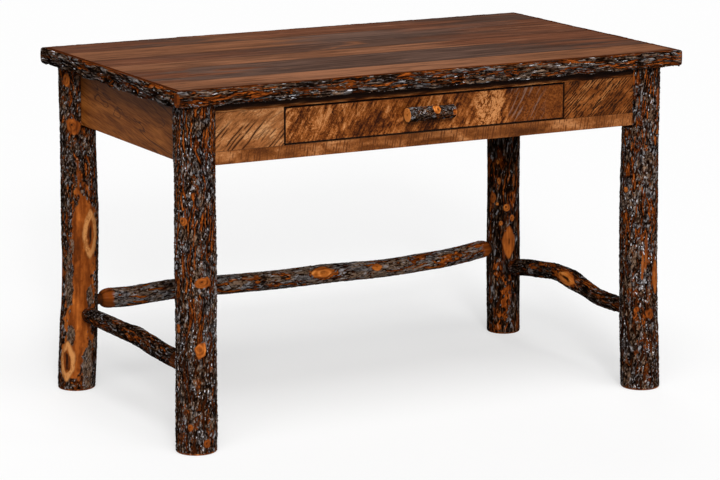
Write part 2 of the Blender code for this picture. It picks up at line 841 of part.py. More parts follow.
def build_drawer():
    """The drawer, carried by an empty on its line of travel."""
    drawer = bpy.data.objects.new("drawer_slide", None)
    drawer.location = (OPENING_MIDDLE, -BOX_Y, OPENING_LOW)
    parts.objects.link(drawer)
    build_drawer_front(drawer)
    reach = SIDE_INNER + DADO_DEPTH - FIT
    back = DRAWER_REAR - BACK_INSET
    board(
        "drawer_back",
        (beside_drawer(-reach), back - BACK_THICKNESS, GROOVE_HIGH),
        (beside_drawer(reach), back, SIDE_HIGH - BACK_DROP),
        "drawer_box_wood",
        drawer,
    )
    reach = SIDE_INNER + GROOVE_DEPTH - FIT
    board(
        "drawer_bottom",
        (beside_drawer(-reach), FRONT_BACK - GROOVE_DEPTH + FIT, GROOVE_LOW + FIT),
        (beside_drawer(reach), DRAWER_REAR, GROOVE_HIGH - FIT),
        "drawer_box_wood",
        drawer,
    )
    catch = DRAWER_TRAVEL + CATCH_GAP - INNER_Y
    for side, word in ((-1, "left"), (1, "right")):
        build_drawer_side(side, word, drawer)
        board(
            f"drawer_catch_{word}",
            (beside_drawer(side * (SIDE_INNER - FIT)), catch, SIDE_HIGH - CATCH_HOLD),
            (
                beside_drawer(side * (SIDE_INNER - FIT - CATCH_THICKNESS)),
                catch + CATCH_LENGTH,
                OPENING_HIGH + CATCH_RISE,
            ),
            "inner_wood",
            drawer,
        )
    build_pull(drawer)


def screw_line(side):
    """Start under the screw's head and the tip of a pull screw."""
    start = Vector((PULL_X + side * POST_SPACING / 2, FRONT_BACK + FIT, PULL_HEIGHT))
    tip = start.copy()
    tip.y = POST_END - SCREW_BITE
    return start, tip


def build_pull(drawer):
    """A twig held off the drawer front by two posts, with a screw through each post."""
    shares = [i / PULL_RINGS for i in range(PULL_RINGS + 1)]
    points = [Vector(((share - 0.5) * PULL_LENGTH, 0, 0)) for share in shares]
    radii = [
        PULL_DIAMETER / 2 * (1 - PULL_TAPER * share + PULL_SWELL * sin(7 * share) ** 2)
        for share in shares
    ]
    mesh = log_mesh("drawer_pull", points, radii, PULL_SIDES)
    pull = add_part("drawer_pull", mesh, "bark", (PULL_X, PULL_Y, PULL_HEIGHT), drawer)
    start, tip = screw_line(1)
    screw = fastener_mesh(
        "screw",
        (start - tip).length,
        SCREW_DIAMETER,
        SCREW_HEAD_WIDTH,
        SCREW_HEAD_HEIGHT,
        FASTENER_SIDES,
    )
    for side, word in ((-1, "left"), (1, "right")):
        start, tip = screw_line(side)
        foot = start.copy()
        foot.y = -BOX_Y - FIT
        end = start.copy()
        end.y = POST_END + FIT
        length = foot - end
        name = f"pull_post_{word}"
        mesh = rod_mesh(name, Vector(), -length, POST_DIAMETER, MORTISE_SIDES)
        post = add_part(name, mesh, "bark", foot, drawer)
        hole = SCREW_DIAMETER + 2 * FIT
        past = AXES[1] * OVERCUT
        bore(post, f"{name}_hole", foot + past, end - past, hole, FASTENER_SIDES)
        seat = end - AXES[1] * FIT
        bore(pull, f"{name}_seat", seat + past, seat, POST_DIAMETER + 2 * FIT, MORTISE_SIDES)
        bore(pull, f"{name}_pilot", start, tip - AXES[1] * FIT, hole, FASTENER_SIDES)
        placed = add_part(f"pull_screw_{word}", screw, "steel", start, drawer)
        placed.rotation_euler.z = -pi / 2


clear_scene()
parts = new_collection("log_desk")
cutters = new_collection("cutters")
build_top_boards()
build_trims()
build_apron()
build_corner_blocks()
build_stretchers(build_legs())
build_slides()
build_drawer()
bpy.context.view_layer.update()
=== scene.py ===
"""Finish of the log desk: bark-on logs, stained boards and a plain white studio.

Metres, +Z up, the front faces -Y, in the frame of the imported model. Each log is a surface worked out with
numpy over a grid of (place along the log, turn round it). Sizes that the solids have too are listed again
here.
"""

from collections import namedtuple

import bpy
import numpy as np
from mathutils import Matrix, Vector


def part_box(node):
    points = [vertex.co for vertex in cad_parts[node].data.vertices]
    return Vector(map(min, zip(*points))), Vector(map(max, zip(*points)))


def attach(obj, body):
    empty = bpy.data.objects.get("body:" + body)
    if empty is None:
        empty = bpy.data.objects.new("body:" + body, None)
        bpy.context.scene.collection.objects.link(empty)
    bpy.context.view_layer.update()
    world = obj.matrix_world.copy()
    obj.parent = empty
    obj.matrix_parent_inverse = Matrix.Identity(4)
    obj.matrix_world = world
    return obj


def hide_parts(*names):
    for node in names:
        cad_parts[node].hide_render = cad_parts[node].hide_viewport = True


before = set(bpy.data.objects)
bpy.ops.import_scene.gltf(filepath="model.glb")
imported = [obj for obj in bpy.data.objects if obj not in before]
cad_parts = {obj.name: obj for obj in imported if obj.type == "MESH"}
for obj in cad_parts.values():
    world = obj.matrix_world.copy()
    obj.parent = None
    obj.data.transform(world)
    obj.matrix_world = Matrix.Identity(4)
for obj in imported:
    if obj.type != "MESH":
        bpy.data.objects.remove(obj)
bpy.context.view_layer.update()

# Sizes of the solids
DESK_HEIGHT = 0.762
TOP_THICKNESS = 0.035
UNDERSIDE = DESK_HEIGHT - TOP_THICKNESS
SLAB_X, SLAB_Y = 0.5925, 0.3385  # half sizes of the planks together
BOX_X, BOX_Y = 0.5535, 0.317  # half sizes of the apron
FIT = 0.0003
LEG_X, LEG_Y = 0.542, 0.296
LEG_LENGTH = UNDERSIDE - FIT
LEG_SWELLS = 2.3
SHELF = 0.592  # height of the notch's shelf
FOOT_CHAMFER = 0.005
TENON_LENGTH = 0.028
SHOULDER_LENGTH = 0.022
KNOT_REACH = 0.07
TRIM_DEPTH = 0.017
TRIM_FLAT = 0.011
CORNER_FLAT = 0.011
PULL_LENGTH = 0.112
PULL_DIAMETER = 0.031
PULL_TAPER = 0.10
PULL_SWELL = 0.03
PULL_MIDDLE = (-0.017, -0.3395, 0.67075)

OPENING = (-0.349, 0.327)  # left and right end of the drawer opening
OPENING_LOW, OPENING_HIGH = 0.6265, 0.707
DRAWER_GAP = 0.002
APRON_BOTTOM = 0.599
APRON_THICKNESS = 0.020

# Grids of the surfaces: points round a log, place between its rings or between the points of a board
LEG_COLUMNS = 180
STRETCHER_COLUMNS = 96
PULL_COLUMNS = 96
GRID = 0.0015
PULL_GRID = 0.0011
TRIM_GRID = 0.0013
CLOSE_GRID = 0.0005
TRIM_RETURN = 0.022  # length of the close rings at a half log's ends
BOARD_GRID = 0.0012
BOARD_RIM = 0.0015  # width of the rim of a sawn board, over which its face sinks
NOISE_ROWS = 2048  # cells of noise along Y until it repeats

# Bark: width and length of its ribbons, width of the scales on them and how many times longer they are, depth
# of the relief, steepest slope of a scale, roundness of the ribbons, width of the cracks, share of ribbons
# split open to the rusty inner bark, share of rubbed flakes, share of painted glints as bright beads, how
# many times larger its finish is drawn, lightness of its scales
Bark = namedtuple("Bark", "wide long scale stretch depth tilt dome crack rust rub gleam grow light")
LEG_BARK = Bark(0.0085, 0.056, 0.0054, 1.8, 0.0022, 0.34, 0.5, 0.0013, 0.55, 0.40, 1.0, 1.2, 1.28)
FLECKED_BARK = Bark(0.0080, 0.034, 0.0056, 1.6, 0.0015, 0.26, 0.4, 0.0010, 0.42, 0.60, 0.8, 1.4, 1.20)
PLATE_BARK = Bark(0.0110, 0.030, 0.0064, 1.6, 0.0013, 0.18, 0.3, 0.0010, 0.38, 0.60, 0.35, 1.2, 0.95)
SMOOTH_BARK = Bark(0.0100, 0.060, 0.0064, 3.0, 0.0009, 0.13, 0.3, 0.0009, 0.14, 0.15, 0.20, 1.5, 0.72)
STRETCHER_BARK = Bark(0.0110, 0.046, 0.0065, 3.0, 0.0010, 0.14, 0.3, 0.0009, 0.44, 0.85, 0.4, 1.3, 2.3)
DARK_BARK = Bark(0.0090, 0.050, 0.0060, 3.0, 0.0010, 0.16, 0.4, 0.0010, 0.16, 0.20, 0.35, 1.3, 0.74)
RUSTY_TRIM = Bark(0.0060, 0.070, 0.0052, 6.5, 0.0046, 0.26, 0.8, 0.0017, 0.60, 0.60, 0.8, 1.0, 1.3)
GREY_TRIM = Bark(0.0095, 0.080, 0.0060, 6.0, 0.0046, 0.26, 0.8, 0.0020, 0.30, 0.50, 0.9, 1.2, 1.2)
PULL_BARK = Bark(0.0060, 0.030, 0.0050, 2.5, 0.0008, 0.20, 0.3, 0.0008, 0.0, 0.10, 0.8, 1.0, 1.0)
PULL_SEED = 71
TRIM_GIRTH = 0.12  # of the whole log that a half log is sawn from
TRIM_ROLL = 0.030  # radius that a half log's bark is rolled up to for the finish

# Marks of bare wood: unevenness of the rim, level of the wood against the bark, dome in the middle, bark lip
# round it, share of bare wood and its lightness, share of pale wood at the rim, size of the dark eye, whether
# its ends are pointed
Wood = namedtuple("Wood", "ragged level dome lip bare tone pale eye pointed")
WOOD_MARKS = {
    "patch": Wood(0.40, -0.0010, 0.0000, 0.0005, 1.0, 0.47, 0.0, 0.00, False),
    "scar": Wood(0.35, -0.0012, 0.0000, 0.0003, 0.8, 0.40, 0.0, 0.00, False),
    "almond": Wood(0.06, -0.0002, 0.0010, 0.0006, 1.0, 0.80, 0.0, 0.10, True),
    "eye": Wood(0.07, -0.0004, 0.0012, 0.0008, 1.0, 0.45, 1.0, 0.22, True),
    "socket": Wood(0.12, -0.0004, 0.0012, 0.0008, 1.0, 0.82, 0.0, 0.28, True),
    "knot": Wood(0.30, -0.0003, 0.0012, 0.0008, 1.0, 0.50, 0.0, 0.15, False),
    "button": Wood(0.08, 0.0002, 0.0016, 0.0002, 1.0, 0.90, 0.0, 0.20, False),
    "burl": Wood(0.25, 0.0004, 0.0016, 0.0006, 1.0, 0.70, 0.0, 0.06, False),
}

# Legs: side, end, shift, diameter, taper, lean, bow, swell and its phase as in the solids, bark, seed
Leg = namedtuple("Leg", "name side end shift diameter taper lean bow swell phase bark seed")
LEGS = (
    Leg("leg_front_left", -1, -1, 0.000, 0.0865, 0.01, -0.003, 0.000, 0.015, 0.4, LEG_BARK, 11),
    Leg("leg_front_right", 1, -1, -0.004, 0.0850, 0.06, 0.013, -0.002, 0.012, 6.0, FLECKED_BARK, 23),
    Leg("leg_rear_left", -1, 1, -0.004, 0.0825, 0.05, -0.015, 0.003, 0.020, 6.1, PLATE_BARK, 37),
    Leg("leg_rear_right", 1, 1, 0.0045, 0.0785, 0.06, 0.0045, 0.000, 0.015, 4.2, SMOOTH_BARK, 41),
)

# Stretchers: legs they run between, heights where the tenons enter them, length of each tenon that shows,
# share of bare wood on the shoulders, diameter of the tenons, the log's diameter and taper, route as (share
# of the run, rise, sideways bend), swells as (share of the run, size), bark, seed
Stretcher = namedtuple(
    "Stretcher", "name legs heights shown peeled tenon diameter taper route swells bark seed"
)
STRETCHERS = (
    Stretcher(
        "stretcher_rear", ("leg_rear_left", "leg_rear_right"), (0.195, 0.2065), (0.009, 0.002), 1.0,
        0.025, 0.0445, 0.07,
        (
            (0.05, -0.0020, 0.001),
            (0.16, 0.0020, 0.004),
            (0.31, -0.0050, -0.002),
            (0.44, -0.0085, 0.001),
            (0.58, -0.0090, 0.004),
            (0.72, -0.0135, 0.005),
            (0.82, -0.0135, -0.002),
            (0.90, -0.0105, -0.001),
            (0.95, -0.0060, 0.000),
        ),
        ((0.55, 0.03), (0.72, -0.03)), STRETCHER_BARK, 53,
    ),
    Stretcher(
        "stretcher_left", ("leg_rear_left", "leg_front_left"), (0.1755, 0.178), (0.003, 0.004), 0.3,
        0.022, 0.038, -0.10,
        (
            (0.20, 0.004, 0.003),
            (0.40, 0.003, -0.003),
            (0.52, 0.005, -0.004),
            (0.78, 0.000, -0.002),
        ),
        ((0.52, 0.08), (0.68, 0.07)), DARK_BARK, 59,
    ),
    Stretcher(
        "stretcher_right", ("leg_rear_right", "leg_front_right"), (0.169, 0.171), (0.003, 0.003), 0.3,
        0.022, 0.039, 0.12,
        (
            (0.10, 0.008, 0.000),
            (0.25, 0.017, 0.005),
            (0.40, 0.0245, 0.006),
            (0.54, 0.018, 0.002),
            (0.64, 0.007, -0.003),
            (0.75, -0.003, -0.005),
            (0.88, -0.003, -0.002),
        ),
        ((0.54, 0.18),), DARK_BARK, 61,
    ),
)

# Marks on each log: place along it or height, bearing round it in degrees, half length, half width, kind
MARKS = {
    "leg_front_left": (
        (0.490, -149, 0.009, 0.0085, "button"),
        (0.364, -94, 0.011, 0.0165, "knot"),
        (0.266, -172, 0.010, 0.006, "button"),
        (0.224, -103, 0.015, 0.012, "burl"),
        (0.158, -117, 0.012, 0.007, "tan"),
        (0.136, -155, 0.011, 0.006, "tan"),
        (0.060, -131, 0.008, 0.006, "knot"),
        (0.024, -85, 0.009, 0.008, "knot"),
        (0.535, -100, 0.016, 0.005, "tan"),
        (0.455, -118, 0.012, 0.007, "tan"),
        (0.300, 20, 0.020, 0.013, "eye"),
        (0.520, 95, 0.011, 0.010, "button"),
    ),
    "leg_front_right": (
        (0.454, -167, 0.006, 0.0055, "button"),
        (0.256, -62, 0.040, 0.011, "almond"),
        (0.174, -89, 0.012, 0.010, "knot"),
        (0.320, -99, 0.040, 0.0035, "scar"),
        (0.285, -110, 0.030, 0.0035, "scar"),
        (0.178, -128, 0.020, 0.014, "rusty"),
        (0.160, -108, 0.016, 0.006, "rusty"),
        (0.310, -139, 0.022, 0.012, "tan"),
        (0.702, -158, 0.016, 0.011, "knot"),
        (0.610, -88, 0.016, 0.005, "tan"),
        (0.660, -60, 0.020, 0.006, "patch"),
        (0.420, 30, 0.018, 0.012, "eye"),
        (0.150, 60, 0.012, 0.011, "button"),
    ),
    "leg_rear_left": (
        (0.340, -100, 0.110, 0.026, "patch"),
        (0.200, -112, 0.120, 0.034, "patch"),
        (0.080, -128, 0.055, 0.030, "patch"),
        (0.214, -78, 0.026, 0.009, "flake"),
        (0.128, -137, 0.020, 0.010, "flake"),
        (0.055, -80, 0.052, 0.014, "flake"),
        (0.250, -150, 0.070, 0.010, "flake"),
        (0.330, -140, 0.020, 0.007, "flake"),
        (0.354, -79, 0.056, 0.019, "eye"),
        (0.068, -147, 0.046, 0.020, "eye"),
        (0.596, -127, 0.020, 0.016, "knot"),
        (0.698, -147, 0.015, 0.009, "knot"),
        (0.480, -115, 0.036, 0.0030, "scar"),
        (0.450, 100, 0.020, 0.013, "eye"),
        (0.250, 150, 0.080, 0.020, "patch"),
    ),
    "leg_rear_right": (
        (0.420, -141, 0.006, 0.0035, "button"),
        (0.374, -137, 0.008, 0.0045, "button"),
        (0.332, -159, 0.013, 0.008, "knot"),
        (0.318, -143, 0.004, 0.0040, "button"),
        (0.310, -109, 0.009, 0.009, "button"),
        (0.272, -129, 0.006, 0.0045, "button"),
        (0.284, -89, 0.008, 0.0060, "button"),
        (0.374, -82, 0.014, 0.0035, "scar"),
        (0.226, -101, 0.040, 0.016, "almond"),
        (0.160, -142, 0.030, 0.012, "rusty"),
        (0.090, -122, 0.060, 0.015, "rusty"),
        (0.110, -98, 0.050, 0.006, "rusty"),
        (0.030, -130, 0.030, 0.022, "rusty"),
        (0.350, 60, 0.020, 0.013, "eye"),
    ),
    "stretcher_rear": (
        (0.560, 22, 0.046, 0.017, "rusty"),
        (0.556, 24, 0.028, 0.013, "burl"),
        (0.700, 25, 0.014, 0.009, "almond"),
        (0.380, 40, 0.030, 0.007, "rusty"),
        (0.430, -20, 0.026, 0.008, "rusty"),
        (0.900, 10, 0.060, 0.012, "rusty"),
        (0.820, 50, 0.040, 0.010, "rusty"),
    ),
    "stretcher_left": (
        (0.310, 20, 0.024, 0.006, "rusty"),
    ),
    "stretcher_right": (
        (0.270, 24, 0.060, 0.022, "rusty"),
        (0.275, 20, 0.030, 0.017, "socket"),
        (0.180, 60, 0.050, 0.009, "rusty"),
        (0.130, 30, 0.030, 0.009, "rusty"),
    ),
    "drawer_pull": (
        (0.024, 112, 0.024, 0.0055, "patch"),
        (0.009, 42, 0.0090, 0.0115, "button"),
        (0.052, 5, 0.0050, 0.0060, "patch"),
    ),
}

# Camera: lens in millimetres, place, how far it looks down and its turn in degrees
CAMERA_LENS = 148.12
CAMERA_PLACE = (-3.05055, -5.64356, 1.70137)
CAMERA_DIP, CAMERA_TURN = 12.032, -28.383

# Lamps: strength, spread, height above the floor and bearing from the front in degrees
LAMPS = {
    "lamp_high": (2.1, 40, 66, -20),
    "lamp_front": (1.25, 24, 24, -22),
    "lamp_spark": (0.95, 7, 20, -20),
    "lamp_right": (0.12, 16, 34, 46),
    "lamp_back": (0.28, 25, 48, 162),
}
SKY = 0.05
FLOOR_WHITE, FLOOR_GLOW = 0.41, 0.57


def step(low, high, value):
    """0 at low, 1 at high, with an S-curve between them; low may be the larger one."""
    t = np.clip((value - low) / (high - low), 0, 1)
    return t * t * (3 - 2 * t)


def blend(first, second, share):
    return first + (second - first) * share


def noise(x, y, wrap, seed):
    """Gradient noise, about -1 to 1: every corner of a unit grid has a random slope, and a point blends the
    slopes of its four corners by quintic weights. The grid repeats after `wrap` cells of x."""
    angle = np.random.default_rng(seed).uniform(0, 2 * np.pi, (wrap, NOISE_ROWS))
    i, j = np.floor(x).astype(int), np.floor(y).astype(int)
    u, v = x - i, y - j
    across = u**3 * (u * (6 * u - 15) + 10)
    along = v**3 * (v * (6 * v - 15) + 10)

    def corner(di, dj):
        slope = angle[(i + di) % wrap, (j + dj) % NOISE_ROWS]
        return np.cos(slope) * (u - di) + np.sin(slope) * (v - dj)

    low = blend(corner(0, 0), corner(1, 0), across)
    high = blend(corner(0, 1), corner(1, 1), across)
    return 1.5 * blend(low, high, along)


def rough(x, y, wrap, seed, layers):
    """Noise in layers, each with half the height and half the size of the one before."""
    return sum(
        noise(x * 2**k, y * 2**k, wrap * 2**k, seed * 10 + k) / 2**k for k in range(layers)
    )


def cells(x, y, wrap, seed):
    """Cells round points scattered one in each square of a unit grid. Gives how much nearer a cell's own
    point is than the next one, which is 0 on the border, a random number of the cell, and both offsets from
    its point."""
    px, py, tag = np.random.default_rng(seed).random((3, wrap, NOISE_ROWS))
    i, j = np.floor(x).astype(int), np.floor(y).astype(int)
    nearest = np.full(x.shape, 9.0)
    second = np.full(x.shape, 9.0)
    own, side, end = np.zeros((3, *x.shape))
    for di in (-1, 0, 1):
        for dj in (-1, 0, 1):
            ci, cj = (i + di) % wrap, (j + dj) % NOISE_ROWS
            dx, dy = x - i - di - px[ci, cj], y - j - dj - py[ci, cj]
            distance = np.hypot(dx, dy)
            closer = distance < nearest
            second = np.where(closer, nearest, np.minimum(second, distance))
            nearest = np.minimum(nearest, distance)
            own = np.where(closer, tag[ci, cj], own)
            side, end = np.where(closer, dx, side), np.where(closer, dy, end)
    return second - nearest, own, side, end


def from_border(edge, around, along):
    """Metres from the nearest border of the cells: their edge value over its steepness."""
    steep = np.hypot(np.gradient(edge, along[:, 0], axis=0), np.gradient(edge, around[0], axis=1))
    return edge / np.maximum(steep, 25)


def bark_look(around, along, girth, kind, seed):
    """Rough bark over (metres round the log, metres along it), as a dictionary of arrays.

    Ribbons are cells stretched along the log and bent by slow noise, rounded by the square root of the way
    in from their border, with a crack round each whose side is one minus a falling exponential. They carry
    scales, which are smaller cells with a random level and a random tilt each, cut by fine cracks. Some
    ribbons have split open: along their middle runs a low spindle of smooth rusty inner bark, which is an
    oval in the ribbon's own measures."""
    share = around / girth

    def count(size):
        return max(4, round(girth / size))

    def field(wide, long, key, layers):
        wrap = count(wide)
        return rough(share * wrap, along / long, wrap, seed * 100 + key, layers)

    drift = field(0.050, 0.120, 1, 2)
    wobble = field(0.012, 0.024, 2, 2)
    wrap = count(kind.wide)
    edge, own, side, end = cells(
        share * wrap + 1.5 * drift + 0.28 * wobble,
        along / kind.long + 0.20 * wobble,
        wrap,
        seed * 100 + 3,
    )
    inwards = from_border(edge, around, along)
    ribbon = blend(1, np.sqrt(np.clip(inwards / (0.45 * kind.wide), 0, 1)), kind.dome)
    ribbon = ribbon * (1 - np.exp(-inwards / kind.crack))
    wrap = count(kind.scale)
    chip_edge, chip_own, chip_side, chip_end = cells(
        share * wrap + 1.5 * drift + 0.5 * wobble,
        along / (kind.stretch * kind.scale) + 0.6 * wobble,
        wrap,
        seed * 100 + 4,
    )
    chip = 1 - np.exp(-from_border(chip_edge, around, along) / 0.0008)
    tilt = chip_side * np.cos(chip_own * 40) + 1.2 * chip_end * np.sin(chip_own * 40)
    level = chip_own * 13 % 1
    fine = field(0.0042, 0.0065, 5, 2)
    region = field(0.060, 0.110, 7, 2)
    open_ribbon = step(-0.05, 0.05, kind.rust * (1 + 1.1 * region) - own)
    spindle = (side / (0.15 + 0.12 * (own * 29 % 1))) ** 2 + (end / 0.50) ** 2 + 0.25 * wobble
    rusty = open_ribbon * step(1.30, 0.50, spindle)
    seam = open_ribbon * np.exp(-(((spindle - 1.3) / 0.35) ** 2))
    scaly = kind.depth * (0.25 + 0.35 * (own * 17 % 1) + chip * (0.15 + 0.30 * level))
    scaly = scaly + kind.tilt * kind.scale * chip * tilt
    height = blend(ribbon * scaly * (1 - 0.6 * seam), 0.12 * kind.depth, rusty) + 0.05 * kind.depth * fine
    worn = field(0.040, 0.060, 8, 2) + 1.4 * (kind.rub - 0.5)
    solid = chip * ribbon * (1 - rusty) * (1 - seam)
    # Painted highlights: the highest, most tilted edges of the scales are marked as spark, drawn as glints
    edge_light = solid * (0.5 * level + tilt)
    bright = np.quantile(edge_light, 0.945)
    return {
        "height": height - np.quantile(height, 0.92),
        "raised": kind.light * np.clip(height / (1.2 * kind.depth), 0, 1) * (1 - rusty),
        "rust": rusty,
        "rub": step(0.80, 0.90, chip_own) * step(0.4, 0.7, solid) * step(0.1, 0.5, worn),
        "spark": step(bright, bright + 0.14, edge_light),
        # Where the painted glints gather
        "gleam": kind.gleam * step(-0.35, 0.45, field(0.040, 0.090, 10, 2)),
        "bare": np.zeros(around.shape),
        "pale": np.zeros(around.shape),
        "eye": np.zeros(around.shape),
        "grain": 0.5 + 0.5 * np.clip(field(0.005, 0.070, 9, 3), -1, 1),
    }


def bark_place(bearing, radius, along, bark, seed):
    """Where a point lies on the rolled-up bark, for the finish: round the log, and along it from a start of
    the log's own, shortened where the bark's pattern is drawn larger or its scales are longer."""
    flat = np.stack((radius * np.cos(bearing), radius * np.sin(bearing), 1.5 * along / bark.stretch), axis=-1)
    return flat / bark.grow + np.array([0, 0, 0.37 * seed])


def leave_flake(look, inside, uneven):
    """A flake of dull bark that is left on bare wood."""
    look["bare"] *= 1 - inside
    look["height"] += 0.0008 * inside
    look["raised"] = blend(look["raised"], 0.40 + 0.5 * look["grain"], inside)
    look["rub"] = np.maximum(look["rub"], 0.7 * inside * step(-0.5, 0.5, uneven))
    look["gleam"] *= 1 - 0.7 * inside


def rub_tan(look, inside, uneven):
    """Scales that stand up, rubbed to a dull tan."""
    rubbed = inside * step(-0.5, 0.2, uneven) * step(0.0, 0.4, look["raised"])
    look["rub"] = np.maximum(look["rub"], rubbed)


def peel_rusty(look, inside, uneven):
    """Bark peeled in rags, down to the rusty inner bark."""
    shown = 0.9 * inside * step(-0.25, 0.15, uneven)
    look["rust"] = np.maximum(look["rust"], shown)
    look["height"] = blend(look["height"], -0.0004, 0.6 * shown)


# Marks that leave bark on: unevenness of the rim, what is done to the bark
BARK_MARKS = {"flake": (0.35, leave_flake), "tan": (0.60, rub_tan), "rusty": (0.70, peel_rusty)}


def lay_bare(look, wood, length, width, uneven):
    """Smooth wood in place of the bark, inside an oval or a lens whose ends are pointed.

    It is domed by a quarter of an ellipse, with a lip of bark round the rim as a bell curve and pale wood
    towards the rim. In the middle a dark eye is sunk, a slit in a lens. In an oval it lies off the centre,
    and the grain waves round it as year rings, of which one is darker."""
    if wood.pointed:
        reach = np.sqrt(length**2 + 1.15 * width**2 / (0.15 + np.abs(width)))
        core = 0.3 * np.hypot(length / 0.45, width / 0.22) * (1 + 0.5 * uneven)
    else:
        reach = np.hypot(length, width)
        core = np.hypot(length - 0.15, width + 0.22)
    reach = reach * (1 + wood.ragged * uneven)
    inside = step(1.06, 0.94, reach)
    ringed = bool(wood.eye) and not wood.pointed
    dome = wood.dome * np.clip(1 - reach**2, 0, 1) ** 0.5
    look["height"] = blend(look["height"], wood.level + dome + 0.0002 * uneven, inside)
    look["height"] += wood.lip * np.exp(-(((reach - 1.15) / 0.14) ** 2))
    look["raised"] = blend(look["raised"], 0.55, inside)
    for name in ("rust", "rub", "spark", "gleam"):
        look[name] *= 1 - inside
    look["bare"] = np.maximum(look["bare"], wood.bare * inside)
    rings = 0.14 * ringed * np.cos(12 * core)
    look["grain"] = blend(look["grain"], wood.tone + rings + 0.12 * uneven, 0.75 * inside)
    rim = step(0.55, 0.70, reach + 0.08 * uneven)
    look["pale"] = blend(look["pale"], wood.pale * rim, inside)
    if wood.eye:
        eye = step(1.4 * wood.eye, 0.6 * wood.eye, core)
        year = 0.4 * ringed * np.exp(-(((reach - 2.6 * wood.eye) / 0.09) ** 2))
        seam = 0.5 * np.exp(-(((reach - 1.04) / 0.08) ** 2))
        look["eye"] = blend(look["eye"], np.maximum(eye, np.maximum(year, seam)), inside)
        look["height"] -= 0.0010 * eye


def press_marks(look, name, along, bearing, radius, seed):
    """The marks of a log pressed into its look one after the other, each with an uneven rim round its
    place."""
    for number, (place, middle, tall, wide, kind) in enumerate(MARKS[name]):
        turn = (bearing - np.radians(middle) + np.pi) % (2 * np.pi) - np.pi
        around = radius * turn
        uneven = rough(around / 0.014 + 50, along / 0.022, 100, seed * 50 + number, 3)
        length, width = (along - place) / tall, around / wide
        if kind in WOOD_MARKS:
            lay_bare(look, WOOD_MARKS[kind], length, width, uneven)
        else:
            ragged, wear = BARK_MARKS[kind]
            inside = step(1.06, 0.94, np.hypot(length, width) * (1 + ragged * uneven))
            wear(look, inside, uneven)


def grid_faces(rows, columns, closed=True):
    """Quads of a grid of points numbered row by row. A closed one is joined round from its last column to its
    first."""
    index = np.arange(rows * columns).reshape(rows, columns)
    beside = np.roll(index, -1, axis=1)
    if not closed:
        index, beside = index[:, :-1], beside[:, :-1]
    return np.stack((index[:-1], beside[:-1], beside[1:], index[1:]), axis=-1).reshape(-1, 4)


def link(obj):
    bpy.context.scene.collection.objects.link(obj)


def add_piece(name, points, quads, caps, look, finish, body):
    """A closed mesh from points, quads and end caps, turned so that it holds a positive volume."""
    a, b, c, d = (points[quads[:, k]] for k in range(4))
    volume = np.sum(a * np.cross(b, c)) + np.sum(a * np.cross(c, d))
    for cap in caps:
        ring = points[cap]
        volume += np.sum(ring[0] * np.cross(ring[1:-1], ring[2:]))
    if volume < 0:
        quads, caps = quads[:, ::-1], [cap[::-1] for cap in caps]
    corners = np.concatenate((quads.ravel(), *caps))
    starts = np.arange(len(quads)) * 4
    ends = quads.size + np.cumsum([0, *(len(cap) for cap in caps)])[:-1]
    mesh = bpy.data.meshes.new(name)
    mesh.vertices.add(len(points))
    mesh.vertices.foreach_set("co", points.astype(np.float32).ravel())
    mesh.loops.add(len(corners))
    mesh.loops.foreach_set("vertex_index", corners.astype(np.int32))
    mesh.polygons.add(len(quads) + len(caps))
    mesh.polygons.foreach_set("loop_start", np.concatenate((starts, ends)).astype(np.int32))
    mesh.update(calc_edges=True)
    mesh.validate()
    mesh.shade_smooth()
    mesh.set_sharp_from_angle(angle=np.radians(60))
    for key, values in look.items():
        kind, field = ("FLOAT_VECTOR", "vector") if key == "bark_place" else ("FLOAT", "value")
        if key != "height":
            layer = mesh.attributes.new(key, kind, "POINT")
            layer.data.foreach_set(field, values.astype(np.float32).ravel())
    piece = bpy.data.objects.new(name, mesh)
    link(piece)
    piece.data.materials.append(finish)
    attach(piece, body)
    return piece


def log_grid(places, columns, start=0.0):
    """Bearing and place of every point of a log, ring by ring."""
    return np.meshgrid(start + 2 * np.pi * np.arange(columns) / columns, places)


def add_log(node, ending, points, look, finish, body):
    """A log from rings of points with a cap at each end, in place of its solid."""
    rows, columns = points.shape[:2]
    first = np.arange(columns)
    caps = [first[::-1], first + (rows - 1) * columns]
    faces = grid_faces(rows, columns)
    piece = add_piece(node + ending, points.reshape(-1, 3), faces, caps, look, finish, body)
    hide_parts(node)


def leg_middle(leg, height):
    """Middle of a leg along X: plumb above the shelf, leaning by the square of the fall and bowing by a sine
    squared below it."""
    fall = np.maximum(0, 1 - height / SHELF)
    bow = leg.bow * np.sin(np.pi * fall) ** 2
    return leg.side * LEG_X + leg.shift + leg.lean * fall**2 + bow


def leg_radius(leg, height):
    """Radius of a leg: a taper to the top and a slow swell."""
    share = height / LEG_LENGTH
    swell = leg.swell * np.sin(LEG_SWELLS * 2 * np.pi * share + leg.phase)
    return leg.diameter / 2 * (1 + leg.taper * (0.5 - share) + swell)


